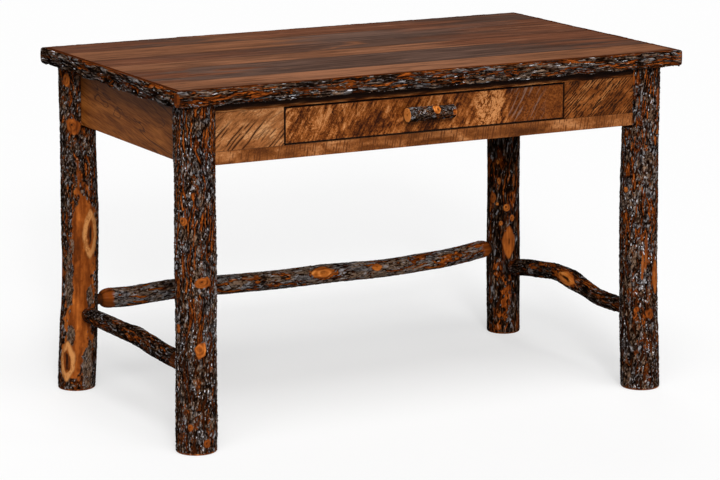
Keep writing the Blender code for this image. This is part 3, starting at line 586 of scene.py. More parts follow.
def cut_notch(leg, bearing, place, out_x, out_y):
    """Rings above the shelf with their inner turns laid along the two faces of the notch. Distances are
    outwards from the leg's middle, and a turn's share of the way from one end of the notch to the other
    gives its place on the faces. The third result is where the faces are."""
    face_x = BOX_X + FIT - LEG_X - leg.side * leg.shift
    face_y = BOX_Y + FIT - LEG_Y
    nominal = leg_radius(leg, place)
    end_x = -np.sqrt(nominal**2 - face_y**2)
    end_y = -np.sqrt(nominal**2 - face_x**2)
    first, last = np.arctan2(face_y, end_x), np.arctan2(end_y, face_x)
    outward = np.arctan2(leg.end * np.sin(bearing), leg.side * np.cos(bearing))
    share = ((outward - first) % (2 * np.pi)) / ((last - first) % (2 * np.pi))
    notched = place > SHELF
    inner = notched & (share < 1)
    outer = notched & (share >= 1) & (out_x < face_x) & (out_y < face_y)
    cut_x = np.where(share < 0.5, blend(end_x, face_x, 2 * share), face_x)
    cut_y = np.where(share < 0.5, face_y, blend(face_y, end_y, 2 * share - 1))
    beside = out_x < out_y
    out_x = np.where(inner, cut_x, np.where(outer & ~beside, face_x, out_x))
    out_y = np.where(inner, cut_y, np.where(outer & beside, face_y, out_y))
    return out_x, out_y, inner


def make_leg(leg, finish):
    """A notched log: rings of radius plus bark height round the leaning middle line, and a rounded foot.
    Low on the leg the splits in the bark are duller, and the faces of the notch are bare wood darkened by
    painted shade."""
    foot = np.array([0.0, 0.0008, 0.0025, FOOT_CHAMFER])
    below = np.arange(FOOT_CHAMFER + GRID, SHELF - GRID / 2, GRID)
    above = np.arange(SHELF + 2 * GRID, LEG_LENGTH - GRID / 2, GRID)
    heights = np.concatenate((foot, below, [SHELF, SHELF + 0.0004], above, [LEG_LENGTH]))
    inwards = np.arctan2(-leg.end, -leg.side)
    bearing, place = log_grid(heights, LEG_COLUMNS, inwards)
    around = (bearing - inwards) * leg.diameter / 2
    look = bark_look(around, place, np.pi * leg.diameter, leg.bark, leg.seed)
    look["rust"] *= blend(0.35, 1.0, step(0.12, 0.42, place))
    radius = leg_radius(leg, place)
    press_marks(look, leg.name, place, bearing, radius, leg.seed)
    rim = step(FOOT_CHAMFER, 0.003, place)
    look["bare"] = np.maximum(look["bare"], rim)
    look["height"] *= 1 - rim
    tuck = np.interp(heights, foot, (0.005, 0.0025, 0.0008, 0.0))[:, None]
    radius = radius + look["height"] - tuck
    out_x, out_y, inner = cut_notch(
        leg, bearing, place, leg.side * radius * np.cos(bearing), leg.end * radius * np.sin(bearing)
    )
    # The notch's faces are bare wood darkened through the eye value, a painted shade
    for key in look:
        look[key] = np.where(inner, {"bare": 1.0, "eye": 0.7}.get(key, 0.0), look[key])
    look["bark_place"] = bark_place(bearing, leg.diameter / 2, place, leg.bark, leg.seed)
    x = leg_middle(leg, place) + leg.side * out_x
    y = leg.end * (LEG_Y + out_y)
    add_log(leg.name, "_log", np.stack((x, y, place), axis=-1), look, finish, "frame")


def through(stops, share):
    """A smooth line through (share, value) stops: cubics whose slope at a stop is that between its
    neighbours."""
    places, values = (np.array(column) for column in zip(*stops))
    last = len(places) - 1
    before = np.maximum(np.arange(last + 1) - 1, 0)
    after = np.minimum(np.arange(last + 1) + 1, last)
    slopes = (values[after] - values[before]) / (places[after] - places[before])
    at = np.clip(np.searchsorted(places, share, side="right") - 1, 0, last - 1)
    run = places[at + 1] - places[at]
    t = (share - places[at]) / run
    return (
        (1 + 2 * t) * (1 - t) ** 2 * values[at]
        + t * (1 - t) ** 2 * run * slopes[at]
        + t**2 * (3 - 2 * t) * values[at + 1]
        + t**2 * (t - 1) * run * slopes[at + 1]
    )


def leg_side(leg, height, way):
    """Point on a leg's side at a height, the way that a stretcher leaves it."""
    middle = np.array([leg_middle(leg, height), leg.end * LEG_Y, height])
    return middle + way * leg_radius(leg, height)


def make_stretcher(stretcher, finish):
    """A crooked log: rings of radius plus bark height along its route, with domed shoulders that are a
    quarter of an ellipse each and round tenons that enter the legs. The shoulders are bare as far as they
    are peeled, and painted shade darkens them and the tenons next to the legs."""
    first, second = (next(leg for leg in LEGS if leg.name == name) for name in stretcher.legs)
    run = np.array([second.side - first.side, second.end - first.end, 0]) / 2
    start = leg_side(first, stretcher.heights[0], run)
    end = leg_side(second, stretcher.heights[1], -run)
    length = np.linalg.norm((end - start)[:2])
    crown = stretcher.shown[0] + SHOULDER_LENGTH
    far_crown = length - stretcher.shown[1] - SHOULDER_LENGTH
    hidden = np.array([-TENON_LENGTH, -TENON_LENGTH / 2])
    places = np.concatenate((hidden, np.arange(-0.006, length + 0.006, GRID), length - hidden[::-1]))
    bearing, place = log_grid(places, STRETCHER_COLUMNS)
    share = np.clip((place - crown) / (far_crown - crown), 0, 1)
    swell = sum(size * np.exp(-(((share - at) / KNOT_REACH) ** 2)) for at, size in stretcher.swells)
    half = stretcher.diameter / 2
    log = half * (1 + stretcher.taper * (0.5 - share) + swell)
    near = np.clip((place - stretcher.shown[0]) / SHOULDER_LENGTH, 0, 1)
    far = np.clip((length - stretcher.shown[1] - place) / SHOULDER_LENGTH, 0, 1)
    dome = np.sqrt(1 - (1 - np.minimum(near, far)) ** 2)
    radius = stretcher.tenon / 2 + (log - stretcher.tenon / 2) * dome
    look = bark_look(bearing * half, place, 2 * np.pi * half, stretcher.bark, stretcher.seed)
    press_marks(look, stretcher.name, place, bearing, log, stretcher.seed)
    uneven = 0.006 * rough(bearing / 2 / np.pi * 5, place / 0.03, 5, stretcher.seed, 2)
    shoulder = step(0.006, -0.002, np.minimum(place - crown, far_crown - place) + uneven)
    look["bare"] = np.maximum(look["bare"], stretcher.peeled * shoulder)
    look["grain"] = blend(look["grain"], 0.30, 0.9 * shoulder)
    # Painted shade: the tenons and the shoulders go dark next to the legs
    look["eye"] = np.maximum(look["eye"], 0.8 * (1 - dome) ** 2)
    look["height"] = blend(look["height"], -0.0006 * (dome < 1), shoulder)
    radius = radius + look["height"]
    look["bark_place"] = bark_place(bearing, half, place, stretcher.bark, stretcher.seed)
    route = [(0, 0, 0), *stretcher.route, (1, 0, 0)]
    rise = through([(at, up) for at, up, aside in route], share)
    bend = through([(at, aside) for at, up, aside in route], share)
    across = np.array([run[1], -run[0], 0])
    sideways = bend + radius * np.cos(bearing)
    points = start + np.multiply.outer(place, run) + np.multiply.outer(sideways, across)
    points[..., 2] += (end - start)[2] * share + rise + radius * np.sin(bearing)
    add_log(stretcher.name, "_log", points, look, finish, "frame")


def trim_section():
    """Section of a half log, from the inner edge of its top round to the inner edge of its underside: a flat
    planed top, a round side that is half an ellipse and a flat underside. Gives the distances outwards and
    upwards from the middle of its inner face, the way the bark grows there and the share of bark."""
    planed = np.linspace(0, TRIM_FLAT, 9)[:-1]
    arc = np.linspace(np.pi / 2, -np.pi / 2, 30)
    under = np.linspace(TRIM_FLAT, 0, 6)[1:]
    top, bottom = np.ones(len(planed)), np.ones(len(under))
    out = np.concatenate((planed, TRIM_FLAT + (TRIM_DEPTH - TRIM_FLAT) * np.cos(arc), under))
    lean_out = np.concatenate((0 * top, np.cos(arc), 0 * bottom))
    lean_up = np.concatenate((top, np.sin(arc), -bottom))
    on_top, on_underside = step(0.6, 1, planed / TRIM_FLAT), step(0, 0.6, under / TRIM_FLAT)
    barked = np.concatenate((on_top, np.ones(len(arc)), on_underside))
    return out, TOP_THICKNESS / 2 * lean_up, lean_out, lean_up, barked


def make_trim(name, run, edge, quarter, bark, seed, hang, finish):
    """A half log along one edge of the planks, carried round by quarter turns.

    The bark height and a slow wave are added outwards from its section, but never above the planed top, and
    low on its side the bark hangs down by a bell curve that waves along it. Points past the mitre's sanded
    corner are brought back onto it, and the corner's edges are rounded."""
    half = TOP_THICKNESS / 2
    out, up, lean_out, lean_up, barked = trim_section()
    girth_at = np.concatenate(([0], np.cumsum(np.hypot(np.diff(out), np.diff(up)))))
    reach = run + TRIM_DEPTH
    close = np.arange(0, TRIM_RETURN, CLOSE_GRID)
    places = np.concatenate((close, np.arange(TRIM_RETURN, reach, TRIM_GRID)))
    shares = np.concatenate((places - reach, reach - places[-2::-1])) / reach
    around, share = np.meshgrid(girth_at, shares)
    look = bark_look(around, share * run, TRIM_GIRTH, bark, seed)
    wave = 0.0022 * rough(around / TRIM_GIRTH * 4, share * run / 0.05, 4, seed, 2)
    nominal = out + edge + np.abs(share) * (run + out)
    corner = run + edge + 2 * TRIM_DEPTH - CORNER_FLAT / np.sqrt(2) - nominal
    kept = barked * step(0.0002, 0.0060, corner) * blend(1, 0.2, step(0.4, 1.0, lean_up))
    lift = (look["height"] - 0.0006 + np.minimum(wave, 0.0012)) * kept
    low = hang * np.exp(-(((up + half) / 0.012) ** 2)) * (0.6 + 0.4 * np.sin(share * run * 47 + seed))
    outwards = np.maximum(out + lift * np.maximum(lean_out, 0.35 * barked), 0)
    z = up + lift * lean_up - low * kept
    bark_left = barked * step(half + 0.0001, half - 0.0006, z)
    # Fewer painted highlights on the half logs
    look["spark"] *= 0.5
    for key in ("rust", "rub", "spark", "gleam"):
        look[key] *= bark_left
    past = np.minimum(corner, 0) / 2
    rounded = 0.0052 * step(0.0070, -0.0050, corner) * step(0.004, 0.012, out)
    z = np.clip(z, -half + rounded - 0.0060 * (rounded < 0.0001), half - rounded)
    x = share * (run + outwards - FIT)
    x = x + np.sign(x) * past
    y = -(edge + outwards + past)
    look["bare"] = np.maximum(1 - bark_left, step(0.0008, 0.0002, corner))
    look["grain"] = blend(look["grain"], 0.0, 0.9 * (1 - bark_left))
    look["grain"] = blend(look["grain"], 0.15, step(0.0010, 0.0002, corner))
    look["bark_place"] = bark_place(around / TRIM_ROLL, TRIM_ROLL, share * run, bark, seed)
    cosine, sine = ((1, 0), (0, 1), (-1, 0), (0, -1))[quarter]
    points = np.stack((cosine * x - sine * y, sine * x + cosine * y, z + DESK_HEIGHT - half), axis=-1)
    add_log(name, "_half_log", points, look, finish, "frame")


def make_pull(finish):
    """A twig with sawn ends: rings of radius plus bark height along X, darker below by painted shade, and
    flat discs of smaller rings at its ends with the year rings as a wave of the radius and a painted
    highlight at their rim."""
    body = np.arange(-PULL_LENGTH / 2 + 0.001, PULL_LENGTH / 2 - 0.0009, PULL_GRID)
    disc = np.array([0.02, 0.2, 0.35, 0.5, 0.62, 0.74, 0.86, 0.95])
    hair = 0.00001 * np.arange(len(disc))
    places = np.concatenate((hair - PULL_LENGTH / 2, body, PULL_LENGTH / 2 - hair[::-1]))
    scale = np.concatenate((disc, np.ones(len(body)), disc[::-1]))[:, None]
    bearing, place = log_grid(places, PULL_COLUMNS)
    share = place / PULL_LENGTH + 0.5
    radius = PULL_DIAMETER / 2 * (1 - PULL_TAPER * share + PULL_SWELL * np.sin(7 * share) ** 2)
    look = bark_look(bearing * PULL_DIAMETER / 2, place, np.pi * PULL_DIAMETER, PULL_BARK, PULL_SEED)
    # Painted shade: the bark is darker on the twig's underside
    look["raised"] = (0.20 + 0.80 * look["raised"]) * blend(0.35, 1.0, step(-0.8, 0.1, np.sin(bearing)))
    press_marks(look, "drawer_pull", place, bearing, radius, PULL_SEED)
    # Year rings, and a painted highlight that lightens the rim of each disc
    year_rings_and_rim_highlight = 1.10 + 0.15 * np.sin(scale * 22) + 0.20 * step(0.80, 0.95, scale)
    sawn = {"bare": 1, "grain": year_rings_and_rim_highlight, "eye": step(0.12, 0.0, scale), "raised": look["raised"]}
    for key in look:
        look[key] = np.where(scale < 1, sawn.get(key, 0), look[key])
    radius = (radius + look["height"]) * scale
    look["bark_place"] = bark_place(bearing, 0.8 * PULL_DIAMETER, 2.7 * place, PULL_BARK, PULL_SEED)
    x, y, z = PULL_MIDDLE
    points = np.stack((x + place, y - radius * np.cos(bearing), z + radius * np.sin(bearing)), axis=-1)
    add_log("drawer_pull", "_twig", points, look, finish, "drawer")


class Finish:
    """A material being mixed: nodes are added by name, and their sockets take numbers, colours or other
    sockets."""

    def __init__(self, name):
        self.material = bpy.data.materials.new(name)
        self.material.use_nodes = True
        self.tree = self.material.node_tree
        self.shader = self.tree.nodes["Principled BSDF"]

    def put(self, socket, value):
        if isinstance(value, bpy.types.NodeSocket):
            self.tree.links.new(value, socket)
        elif hasattr(socket.default_value, "__len__") and len(socket.default_value) == 4:
            socket.default_value = (*value, 1)
        else:
            socket.default_value = value

    def node(self, kind, output=0, sockets=None, **settings):
        node = self.tree.nodes.new("ShaderNode" + kind)
        for key, value in settings.items():
            setattr(node, key, value)
        for key, value in (sockets or {}).items():
            self.put(node.inputs[key], value)
        return node.outputs[output]

    def attribute(self, name):
        return self.node("Attribute", "Fac", attribute_name=name)

    def axis(self, name):
        """Object coordinate along one axis."""
        return self.node("SeparateXYZ", name, {0: self.node("TexCoord", "Object")})

    def place(self, scale, turn=(0, 0, 0), shift=(0, 0, 0)):
        """Object coordinates, shifted and turned and then stretched."""
        where = self.node("TexCoord", "Object")
        turned = self.node("Mapping", 0, {"Vector": where, "Location": shift, "Rotation": turn})
        return self.node("Mapping", 0, {"Vector": turned, "Scale": scale})

    def speckle(self, where, detail=3, distort=0.0, roughness=0.5):
        return self.node(
            "TexNoise", "Fac",
            {"Vector": where, "Scale": 1, "Detail": detail, "Roughness": roughness, "Distortion": distort},
        )

    def math(self, operation, first, second=0.0, clamp=False):
        return self.node("Math", 0, {0: first, 1: second}, operation=operation, use_clamp=clamp)

    def add(self, first, second, clamp=False):
        return self.math("ADD", first, second, clamp)

    def less(self, first, second):
        return self.math("SUBTRACT", first, second)

    def times(self, first, second):
        return self.math("MULTIPLY", first, second)

    def larger(self, first, second):
        return self.math("MAXIMUM", first, second)

    def smaller(self, first, second):
        return self.math("MINIMUM", first, second)

    def vector(self, operation, first, second):
        return self.node("VectorMath", 0, {0: first, 1: second}, operation=operation)

    def between(self, value, low, high, to_low=0.0, to_high=1.0):
        """An S-curve from to_low, where the value is low, to to_high."""
        return self.node(
            "MapRange", 0,
            {"Value": value, "From Min": low, "From Max": high, "To Min": to_low, "To Max": to_high},
            interpolation_type="SMOOTHSTEP",
        )

    def sway(self, value, reach, low=0.3, high=0.7):
        """An S-curve as far below 0 as above it."""
        return self.between(value, low, high, -reach, reach)

    def veins(self, where, width, detail=2, distort=1.5):
        """Thin curling lines, where a noise passes through its middle."""
        offset = self.math("ABSOLUTE", self.less(self.speckle(where, detail, distort), 0.5))
        return self.between(offset, width, 0)

    def colours(self, value, stops):
        node = self.tree.nodes.new("ShaderNodeValToRGB")
        self.put(node.inputs[0], value)
        ramp = node.color_ramp.elements
        while len(ramp) < len(stops):
            ramp.new(0.5)
        for spot, (position, colour) in zip(ramp, stops):
            spot.position = position
            spot.color = (*colour, 1)
        return node.outputs[0]

    def over(self, under, top, share):
        """One colour laid over another."""
        return self.node("Mix", 2, {0: share, 6: under, 7: top}, data_type="RGBA")

    def relief(self, height, depth, strength=1.0, varnished=False):
        bump = self.node("Bump", 0, {"Height": height, "Distance": depth, "Strength": strength})
        self.put(self.shader.inputs["Normal"], bump)
        if varnished:
            self.put(self.shader.inputs["Coat Normal"], bump)

    def shade(self, colour, roughness, **sockets):
        self.put(self.shader.inputs["Base Color"], colour)
        self.put(self.shader.inputs["Roughness"], roughness)
        for key, value in sockets.items():
            self.put(self.shader.inputs[key.replace("_", " ")], value)
        return self.material


# Bark tones, from the cracks to the highest scales or from dark to light, as (level, colour)
COOL_SCALES = (
    (0.10, (0.0040, 0.0018, 0.0009)),
    (0.35, (0.019, 0.0105, 0.0066)),
    (0.60, (0.050, 0.035, 0.029)),
    (0.85, (0.095, 0.076, 0.069)),
    (1.00, (0.170, 0.150, 0.145)),
)
BROWN_SCALES = (
    (0.10, (0.0050, 0.0018, 0.0006)),
    (0.35, (0.023, 0.0100, 0.0042)),
    (0.60, (0.062, 0.032, 0.018)),
    (0.85, (0.125, 0.074, 0.046)),
    (1.00, (0.210, 0.138, 0.094)),
)
RUST_TONES = ((0.15, (0.060, 0.012, 0.0025)), (0.5, (0.200, 0.042, 0.006)), (0.9, (0.400, 0.098, 0.014)))
BARE_TONES = (
    (0.05, (0.060, 0.013, 0.0025)),
    (0.40, (0.190, 0.042, 0.006)),
    (0.68, (0.340, 0.086, 0.013)),
    (0.88, (0.560, 0.160, 0.026)),
    (1.00, (0.760, 0.270, 0.060)),
)
PALE_TONES = ((0.8, (0.34, 0.118, 0.030)), (1.0, (0.56, 0.235, 0.072)))
CRACK_BLACK = (0.003, 0.0015, 0.001)
# Worn grey chips, which also stand in for a painted sheen where the glints gather
WORN_GREY_AND_SHEEN = (0.20, 0.185, 0.18)
# Painted glints of varnish
GLINT_WHITE = (0.86, 0.86, 0.92)
SPLIT_EDGE = (0.040, 0.009, 0.002)
# Painted highlights on the rusty splits
RUST_SHINE = (0.62, 0.36, 0.22)
RUBBED_TAN = (0.25, 0.150, 0.092)
# Black of the knots' eyes, also the painted shade at tenons and in notches
EYE_AND_SHADE_BLACK = (0.020, 0.007, 0.003)

# Cells of the bark's finish in a metre: round the log twice, since it is rolled up, and along it
CHIPS = (240, 240, 100)
BEADS = (370, 370, 200)


def bark_finish():
    """Varnished bark: black cracks to brown or grey scales by height, worn grey chips that are partly a
    painted sheen where the glints gather, rusty inner bark in flecks between them and in the splits, painted
    glints of varnish as small bright beads and on the edges of scales, painted highlights on the splits,
    tan rubbed flakes, orange bare wood, pale wood round the eyes of knots, black eyes and painted shade at
    tenons and notches. The scales and the bare wood, not the cracks, carry a coat of varnish."""
    mix = Finish("varnished_bark")
    flat = mix.node("Attribute", "Vector", attribute_name="bark_place")
    bend = mix.node("TexNoise", "Color", {"Vector": flat, "Scale": 110, "Detail": 2})
    bend = mix.vector("SUBTRACT", bend, (0.5, 0.5, 0.5))
    bend = mix.node("VectorMath", 0, {0: bend, "Scale": 0.008}, operation="SCALE")
    place = mix.vector("ADD", flat, bend)

    def patches(scale, detail, distort=0.0):
        return mix.speckle(mix.node("Mapping", 0, {"Vector": place, "Scale": scale}), detail, distort)

    def cell(scale, output, feature="F1"):
        where = mix.node("Mapping", 0, {"Vector": place, "Scale": scale})
        return mix.node("TexVoronoi", output, {"Vector": where, "Scale": 1}, feature=feature)

    seam = cell(CHIPS, "Distance", "DISTANCE_TO_EDGE")
    chip = cell(CHIPS, "Color")
    crumb = patches((410, 410, 165), 3)
    plate = patches((70, 70, 32), 3, 0.6)
    warm = patches((110, 110, 42), 3, 0.8)
    raised, gleam, split, is_bare = (mix.attribute(name) for name in ("raised", "gleam", "rust", "bare"))

    height = mix.add(raised, mix.between(crumb, 0.32, 0.68, -0.42, 0.46))
    height = mix.add(height, mix.sway(mix.node("SeparateColor", 1, {0: chip}), 0.14, 0, 1))
    scales = (mix.colours(height, tones) for tones in (COOL_SCALES, BROWN_SCALES))
    colour = mix.over(*scales, mix.between(plate, 0.42, 0.56))
    # Worn grey chips, only where the painted glints gather, so partly a painted sheen
    worn = mix.between(mix.node("SeparateColor", 0, {0: chip}), 0.76, 0.84, 0, 0.25)
    worn = mix.times(worn, mix.between(height, 0.35, 0.70))
    colour = mix.over(colour, WORN_GREY_AND_SHEEN, mix.times(worn, gleam))

    rust_tone = mix.add(mix.between(crumb, 0.3, 0.7, 0.0, 0.65), mix.between(plate, 0.3, 0.7, 0.0, 0.35))
    rust = mix.colours(rust_tone, RUST_TONES)
    fleck = mix.times(mix.between(warm, 0.54, 0.61, 0, 0.8), mix.between(height, 0.80, 0.45))
    colour = mix.over(colour, rust, fleck)
    colour = mix.over(colour, CRACK_BLACK, mix.between(seam, 0.17, 0.05, 0, 0.65))

    # Painted glints: bright beads on raised scales, and the painted highlights of the spark value
    chance = mix.node("SeparateColor", 0, {0: cell(BEADS, "Color")})
    bead = mix.between(cell(BEADS, "Distance"), 0.42, 0.24)
    glint = mix.times(bead, mix.between(chance, 0.66, 0.70))
    glint = mix.times(mix.times(glint, mix.between(raised, 0.30, 0.60)), gleam)
    glint = mix.larger(glint, mix.times(mix.attribute("spark"), 0.20))
    colour = mix.over(colour, GLINT_WHITE, glint)

    colour = mix.over(colour, SPLIT_EDGE, mix.between(split, 0.05, 0.45))
    colour = mix.over(colour, rust, mix.between(split, 0.40, 0.90))
    # Painted highlights on the rusty splits
    shine = mix.times(bead, mix.between(chance, 0.20, 0.14, 0, 0.55))
    colour = mix.over(colour, RUST_SHINE, mix.times(shine, split))
    rubbed = mix.times(mix.attribute("rub"), mix.between(crumb, 0.36, 0.60, 0.25, 0.80))
    colour = mix.over(colour, RUBBED_TAN, rubbed)

    bare_tone = mix.add(mix.attribute("grain"), mix.sway(patches((75, 75, 11), 3, 0.5), 0.24))
    colour = mix.over(colour, mix.colours(bare_tone, BARE_TONES), is_bare)
    colour = mix.over(colour, mix.colours(mix.add(crumb, plate), PALE_TONES), mix.attribute("pale"))
    # Black eyes of knots, and through the same value painted shade at tenons and in notches
    colour = mix.over(colour, EYE_AND_SHADE_BLACK, mix.attribute("eye"))

    domes = mix.add(mix.between(seam, 0.0, 0.35), mix.times(crumb, 0.8))
    smooth = mix.larger(is_bare, split)
    mix.relief(domes, 0.0010, mix.between(smooth, 0, 1, 1.0, 0.10), varnished=True)
    varnish = mix.larger(mix.between(raised, 0.40, 0.75, 0, 0.05), mix.times(is_bare, 0.05))
    return mix.shade(
        colour, mix.between(crumb, 0.3, 0.7, 0.35, 0.50),
        Specular_IOR_Level=0.0, Coat_Weight=varnish, Coat_Roughness=0.15,
    )


# Stains of the top's planks, from the back to the front: tints at shares of the length from the left
UMBER = (0.088, 0.044, 0.029)
TAUPE = (0.119, 0.064, 0.045)
CHESTNUT = (0.149, 0.051, 0.023)
AMBER = (0.209, 0.080, 0.035)
HONEY = (0.265, 0.108, 0.052)
TOP_BOARDS = (
    ((0.0, CHESTNUT), (0.18, UMBER), (0.30, AMBER), (0.45, CHESTNUT), (0.80, CHESTNUT), (1.0, UMBER)),
    ((0.0, AMBER), (0.28, AMBER), (0.45, TAUPE), (0.75, TAUPE), (1.0, CHESTNUT)),
    ((0.0, CHESTNUT), (0.38, UMBER), (0.45, AMBER), (0.52, UMBER), (0.75, UMBER), (1.0, CHESTNUT)),
    ((0.0, AMBER), (0.20, HONEY), (0.40, AMBER), (0.60, HONEY), (0.80, CHESTNUT), (1.0, CHESTNUT)),
    ((0.0, CHESTNUT), (0.06, TAUPE), (0.40, UMBER), (0.60, TAUPE), (0.90, UMBER), (1.0, CHESTNUT)),
    ((0.0, AMBER), (0.10, HONEY), (0.40, HONEY), (0.60, HONEY), (0.85, AMBER), (1.0, AMBER)),
)
PORE_DARK = (0.030, 0.013, 0.008)
JOINT_DARK = (0.020, 0.008, 0.005)
VEIN_DARK, VEIN_LIGHT = (0.050, 0.021, 0.013), (0.420, 0.185, 0.100)

# Stains of the other boards, from dark to light
FRONT_STOPS = (
    (0.34, (0.026, 0.0058, 0.0012)),
    (0.43, (0.100, 0.024, 0.0040)),
    (0.51, (0.215, 0.058, 0.0100)),
    (0.58, (0.340, 0.104, 0.0220)),
    (0.70, (0.600, 0.250, 0.0850)),
)
LIGHT_STOPS = (
    (0.30, (0.160, 0.048, 0.0120)),
    (0.44, (0.300, 0.102, 0.0290)),
    (0.56, (0.420, 0.158, 0.0500)),
    (0.68, (0.640, 0.305, 0.1250)),
)
EVEN_STOPS = (
    (0.30, (0.060, 0.014, 0.0020)),
    (0.44, (0.170, 0.045, 0.0080)),
    (0.56, (0.300, 0.090, 0.0190)),
    (0.72, (0.520, 0.205, 0.0620)),
)
RAIL_STOPS = (
    (0.30, (0.070, 0.019, 0.0040)),
    (0.44, (0.190, 0.056, 0.0120)),
    (0.56, (0.310, 0.105, 0.0290)),
    (0.74, (0.560, 0.240, 0.0900)),
)
SIDE_STOPS = ((0.28, (0.150, 0.038, 0.004)), (0.50, (0.300, 0.086, 0.013)), (0.74, (0.480, 0.155, 0.030)))
INNER_STOPS = ((0.3, (0.36, 0.235, 0.125)), (0.7, (0.56, 0.41, 0.25)))
DRAWER_STOPS = ((0.3, (0.46, 0.33, 0.19)), (0.7, (0.64, 0.49, 0.31)))
ZINC_STOPS = ((0.3, (0.44, 0.44, 0.45)), (0.7, (0.60, 0.60, 0.62)))
# Dark lines among the streaks, also the colour of the soft painted shade under the top
LINE_AND_SHADE_DARK = (0.030, 0.008, 0.002)
# Painted shade under the top: TOP_SHADOW in a band over SHADOW_HEIGHTS, the dark of the lines softly over
# SHADE_HEIGHTS
TOP_SHADOW = (0.006, 0.002, 0.001)
SHADE_HEIGHTS, SHADOW_HEIGHTS = (0.640, 0.716), (0.703, 0.715)  # over which boards darken under the top
STREAK_GREY = (0.27, 0.165, 0.120)
# Painted shade along the drawer front's edges, as in the gap round it
GAP_SHADE_BLACK = (0.003, 0.001, 0.001)


def painted_shade_under_top(mix, colour, soft=0.0):
    """Painted shade under the top: darker towards the underside of the planks, softly at first."""
    height = mix.axis("Z")
    if soft:
        colour = mix.over(colour, LINE_AND_SHADE_DARK, mix.between(height, *SHADE_HEIGHTS, 0, soft))
    return mix.over(colour, TOP_SHADOW, mix.between(height, *SHADOW_HEIGHTS, 0, 0.97))


def wood_finish(name, stops, fibre, fine, gloss, seed=0.0, shaded=False, turn=(0, 0, 0), lined=0.0):
    """Stained wood: soft streaks and fine fibres along one axis, coloured by a ramp of stain tones. It may
    have thin dark lines among the streaks, and painted shade under the top, which reaches lower where it has
    lines."""
    mix = Finish(name)
    streak = mix.speckle(mix.place(fibre, turn, (seed, seed, seed)), 4, 0.6)
    hair = mix.speckle(mix.place(fine, turn, (seed, 0, 0)), 3)
    colour = mix.colours(mix.add(streak, mix.sway(hair, 0.16, 0.25, 0.75)), stops)
    if lined:
        thin = mix.veins(mix.place([0.5 * count for count in fibre], turn, (seed, 0, seed)), 0.012, 2, 0.8)
        colour = mix.over(colour, LINE_AND_SHADE_DARK, mix.times(thin, lined))
    mix.relief(hair, 0.0002)
    # Painted shade under the top
    if shaded:
        colour = painted_shade_under_top(mix, colour, 0.75 * lined)
    return mix.shade(colour, gloss, Specular_IOR_Level=0.04)


def shades(stops, factor):
    """The same colours, lighter or darker."""
    return [(place, tuple(factor * channel for channel in colour)) for place, colour in stops]


def top_board_finish(name, tints, seed, low, high):
    """A plank of the top: its tints from left to right run into each other along an uneven line, and long
    streaks and fine fibres along X make them lighter and darker. Stain has gathered in the joints at its long
    edges, which lie at low and high along Y."""
    mix = Finish(name)

    def grain(scale, *settings):
        return mix.speckle(mix.place(scale, shift=(seed, seed * 0.37, 0)), *settings)

    across = mix.axis("Y")
    joint = mix.smaller(mix.less(across, low), mix.less(high, across))
    drift = grain((5, 24, 24), 3, 0.4)
    where = mix.add(
        mix.between(mix.axis("X"), -SLAB_X, SLAB_X, 0, 1), mix.sway(drift, 0.16, 0.2, 0.8), clamp=True
    )
    streak = grain((2.6, 38, 38), 5, 1.2, 0.6)
    hair = grain((9, 230, 230), 4, 0.4, 0.6)
    line = grain((5, 85, 85), 3, 1.6)
    vein = grain((6, 62, 62), 4, 1.3, 0.6)
    pore = grain((40, 800, 800), 2)
    light = mix.add(mix.sway(hair, 0.10, 0.25, 0.75), mix.sway(line, 0.16))
    light = mix.between(mix.add(streak, light), 0.28, 0.72)
    tones = (mix.colours(where, shades(tints, factor)) for factor in (0.66, 1.50))
    colour = mix.over(*tones, light)
    colour = mix.over(colour, VEIN_DARK, mix.between(vein, 0.56, 0.68, 0, 0.5))
    colour = mix.over(colour, VEIN_LIGHT, mix.between(vein, 0.42, 0.32, 0, 0.35))
    colour = mix.over(colour, PORE_DARK, mix.between(pore, 0.60, 0.70, 0, 0.35))
    colour = mix.over(colour, JOINT_DARK, mix.between(joint, 0.0018, 0.0004, 0, 0.8))
    mix.relief(mix.less(hair, pore), 0.00012)
    return mix.shade(colour, mix.between(streak, 0.3, 0.7, 0.40, 0.30), Specular_IOR_Level=0.05)


# Marks of a saw: their slant in degrees, distance, length, share of the board's height that they reach,
# depth, seed
Saw = namedtuple("Saw", "slant pitch length reach depth seed")


def saw_marks(x, z, saw):
    """Marks of a saw on a board's face, from 0 to 1: bell-shaped dips at an uneven pitch across the slant,
    each with a random strength that fades in and out along the mark."""
    angle = np.radians(saw.slant)
    along = x * np.cos(angle) + z * np.sin(angle)
    across = z * np.cos(angle) - x * np.sin(angle) + 2
    across = across / saw.pitch + 0.30 * rough(along / 0.06 + 40, across / 0.015, 200, saw.seed, 2)
    line = np.floor(across).astype(int)
    strength = np.random.default_rng(saw.seed).random(4096)[line % 4096]
    fade = rough(along / saw.length + 40, line * 3.7, 400, saw.seed + 1, 2) + 1.1 * (strength - 0.45)
    dip = np.exp(-(((across - line - 0.5) / 0.24) ** 2))
    return np.clip(dip * step(-0.30, 0.35, fade) * (0.60 + 0.80 * strength), 0, 1)


